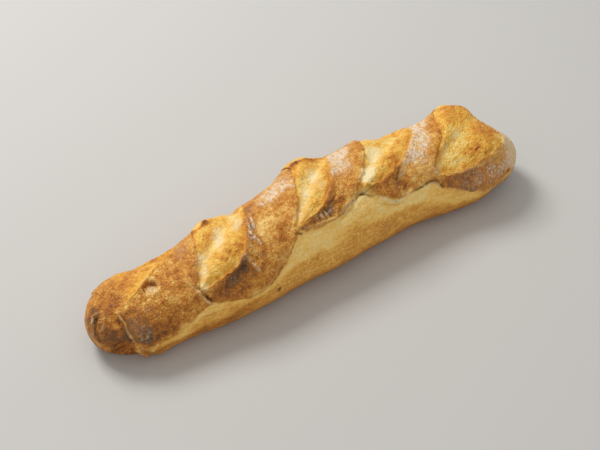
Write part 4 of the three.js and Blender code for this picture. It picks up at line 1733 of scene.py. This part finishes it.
@dataclass
class Baguette:
    """The loaf: its dressed mesh that stands for the solid."""

    name: str = "baguette_loaf"
    form: LoafForm = field(default_factory=LoafForm)
    density: MeshDensity = field(default_factory=MeshDensity)
    finish: BakedCrustFinish = field(default_factory=BakedCrustFinish)
    seed: int = 11
    spine_shift: float = 4.35
    flat_margin: float = 0.01

    def build(self) -> bpy.types.Object:
        """Builds the loaf in the solid's place and dresses it."""
        rows = self.density.rows()
        along = np.array([self.density.ring_places(wrapped(row), self.form) for row in rows])
        around = np.repeat([[wrapped(row)] for row in rows], along.shape[1], axis=1)
        crust = Crust(self.form, Grain(self.seed))
        points, looks = crust.shape(along, around)
        tips = self.form.core(
            np.array([self.form.near_end, self.form.far_end]), np.array([0.0, 0.0])
        )
        vertices = self.seated(np.concatenate([points.reshape(-1, 3), tips]))
        mesh = bpy.data.meshes.new(self.name)
        mesh.from_pydata(vertices.tolist(), [], self.faces(*along.shape))
        mesh.polygons.foreach_set("use_smooth", [True] * len(mesh.polygons))
        for name, values in looks.items():
            ends = [values[0, 0], values[0, -1]]
            attribute = mesh.attributes.new(name, "FLOAT", "POINT")
            attribute.data.foreach_set("value", np.concatenate([values.ravel(), ends]))
        self.unroll(mesh, along.shape)
        mesh.materials.append(self.finish.make())
        mesh.update()
        loaf = bpy.data.objects.new(self.name, mesh)
        bpy.context.collection.objects.link(loaf)
        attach(loaf, "root")
        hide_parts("loaf")
        return loaf

    def seated(self, vertices: Field) -> Field:
        """The points in metres, over the solid's own place and held in its box."""
        low, high = (np.array(corner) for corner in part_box("loaf"))
        middle = np.array([(self.form.near_end + self.form.far_end) / 2.0, self.spine_shift, 0.0])
        placed = (vertices - middle) * METRES
        return np.clip(placed, low, high)

    def faces(self, row_count: int, ring_count: int) -> list[tuple[int, ...]]:
        """The skin's four-sided faces and the two fans at the tips."""
        faces: list[tuple[int, ...]] = []
        near_tip = row_count * ring_count
        for row in range(row_count):
            here, beside = row * ring_count, ((row + 1) % row_count) * ring_count
            for ring in range(ring_count - 1):
                faces.append((here + ring, here + ring + 1, beside + ring + 1, beside + ring))
            faces.append((near_tip, here, beside))
            faces.append((near_tip + 1, beside + ring_count - 1, here + ring_count - 1))
        return faces

    def unroll(self, mesh: bpy.types.Mesh, shape: tuple[int, int]) -> None:
        """Lays the skin out flat, one strip for each row."""
        row_count, ring_count = shape
        layer = mesh.uv_layers.new(name="OFBake")
        index = np.zeros(len(mesh.loops), dtype=np.int64)
        mesh.loops.foreach_get("vertex_index", index)
        starts = np.zeros(len(mesh.polygons), dtype=np.int64)
        counts = np.zeros(len(mesh.polygons), dtype=np.int64)
        mesh.polygons.foreach_get("loop_start", starts)
        mesh.polygons.foreach_get("loop_total", counts)
        ring = (index % ring_count) / (ring_count - 1.0)
        row = (index // ring_count).astype(float)
        tips = row_count * ring_count
        face = np.repeat(np.arange(len(starts)), counts)
        face_row = face // (ring_count + 1)
        row = np.where((row == 0) & (face_row == row_count - 1), row_count, row)
        corner_row = row / row_count
        at_tip = index >= tips
        clear_of_tips = blend(self.flat_margin, 1.0 - self.flat_margin, ring)
        ring = np.where(at_tip, index - tips, clear_of_tips)
        corner_row = np.where(at_tip, (face_row + 0.5) / row_count, corner_row)
        layer.data.foreach_set("uv", np.stack([ring, corner_row], axis=-1).ravel())


def wrapped(angle: float) -> float:
    """An angle from -180 to 180."""
    return angle - FULL_TURN if angle > HALF_TURN else float(angle)


# ---- Studio ----------------------------------------------------------------------------


@dataclass(frozen=True)
class Studio:
    """A plain pale floor under plain soft light, and the camera."""

    floor_size: float = 6.0
    floor_shade: Colour = shade(196, 194, 190)
    azimuth: float = -32.12
    elevation: float = 45.0
    distance: float = 0.77793
    lens: float = 70.0
    target: Triple = (-0.00552, 0.00436, 0.020)
    floor_roughness: float = 0.85
    sky: float = 0.52
    sky_tint: Colour = (1.0, 0.985, 0.96)
    main_place: Triple = (-0.25, 0.85, 1.15)
    main_size: float = 0.55
    main_power: float = 14.5
    fill_place: Triple = (-0.5, -1.1, 0.9)
    fill_size: float = 1.2
    fill_power: float = 1.6

    def build_floor(self) -> bpy.types.Object:
        """A large, plain, pale floor."""
        half = self.floor_size / 2.0
        mesh = bpy.data.meshes.new("studio_floor")
        corners = [(-half, -half, 0), (half, -half, 0), (half, half, 0), (-half, half, 0)]
        mesh.from_pydata(corners, [], [(0, 1, 2, 3)])
        graph = MaterialGraph("studio_floor")
        looks = {"Base Color": (*self.floor_shade, 1.0), "Roughness": self.floor_roughness}
        graph.finish_with(looks)
        mesh.materials.append(graph.material)
        floor = bpy.data.objects.new("studio_floor", mesh)
        bpy.context.collection.objects.link(floor)
        return floor

    def light(self, name: str, place: Sequence[float], size: float, power: float) -> None:
        """One square soft light that faces the loaf."""
        data = bpy.data.lights.new(name, "AREA")
        data.size = size
        data.energy = power
        lamp = bpy.data.objects.new(name, data)
        lamp.location = place
        lamp.rotation_euler = (-Vector(place)).to_track_quat("-Z", "Y").to_euler()
        bpy.context.collection.objects.link(lamp)

    def build_lights(self) -> None:
        """A soft main light from behind and above, a weak fill and an even sky."""
        self.light("main_light", self.main_place, self.main_size, self.main_power)
        self.light("fill_light", self.fill_place, self.fill_size, self.fill_power)
        world = bpy.data.worlds.new("studio_sky")
        world.use_nodes = True
        background = world.node_tree.nodes["Background"]
        background.inputs["Color"].default_value = (*self.sky_tint, 1.0)
        background.inputs["Strength"].default_value = self.sky
        bpy.context.scene.world = world
        bpy.context.scene.view_settings.view_transform = "Standard"

    def build_camera(self) -> None:
        """The camera, at the photograph's viewing angle."""
        turn, rise = math.radians(self.azimuth), math.radians(self.elevation)
        flat = math.cos(rise)
        back = Vector((math.sin(turn) * flat, -math.cos(turn) * flat, math.sin(rise)))
        data = bpy.data.cameras.new("photo_camera")
        data.lens = self.lens
        camera = bpy.data.objects.new("photo_camera", data)
        camera.location = Vector(self.target) + back * self.distance
        camera.rotation_euler = back.to_track_quat("Z", "Y").to_euler()
        bpy.context.collection.objects.link(camera)
        bpy.context.scene.camera = camera


def main() -> None:
    """Builds the loaf, then the studio around it."""
    logging.basicConfig(level=logging.INFO, format="%(name)s: %(message)s")
    loaf = Baguette().build()
    log.info("%s: %d faces", loaf.name, len(loaf.data.polygons))
    studio = Studio()
    floor = studio.build_floor()
    log.info("%s: %d face", floor.name, len(floor.data.polygons))
    studio.build_lights()
    studio.build_camera()


if __name__ == "__main__":
    main()
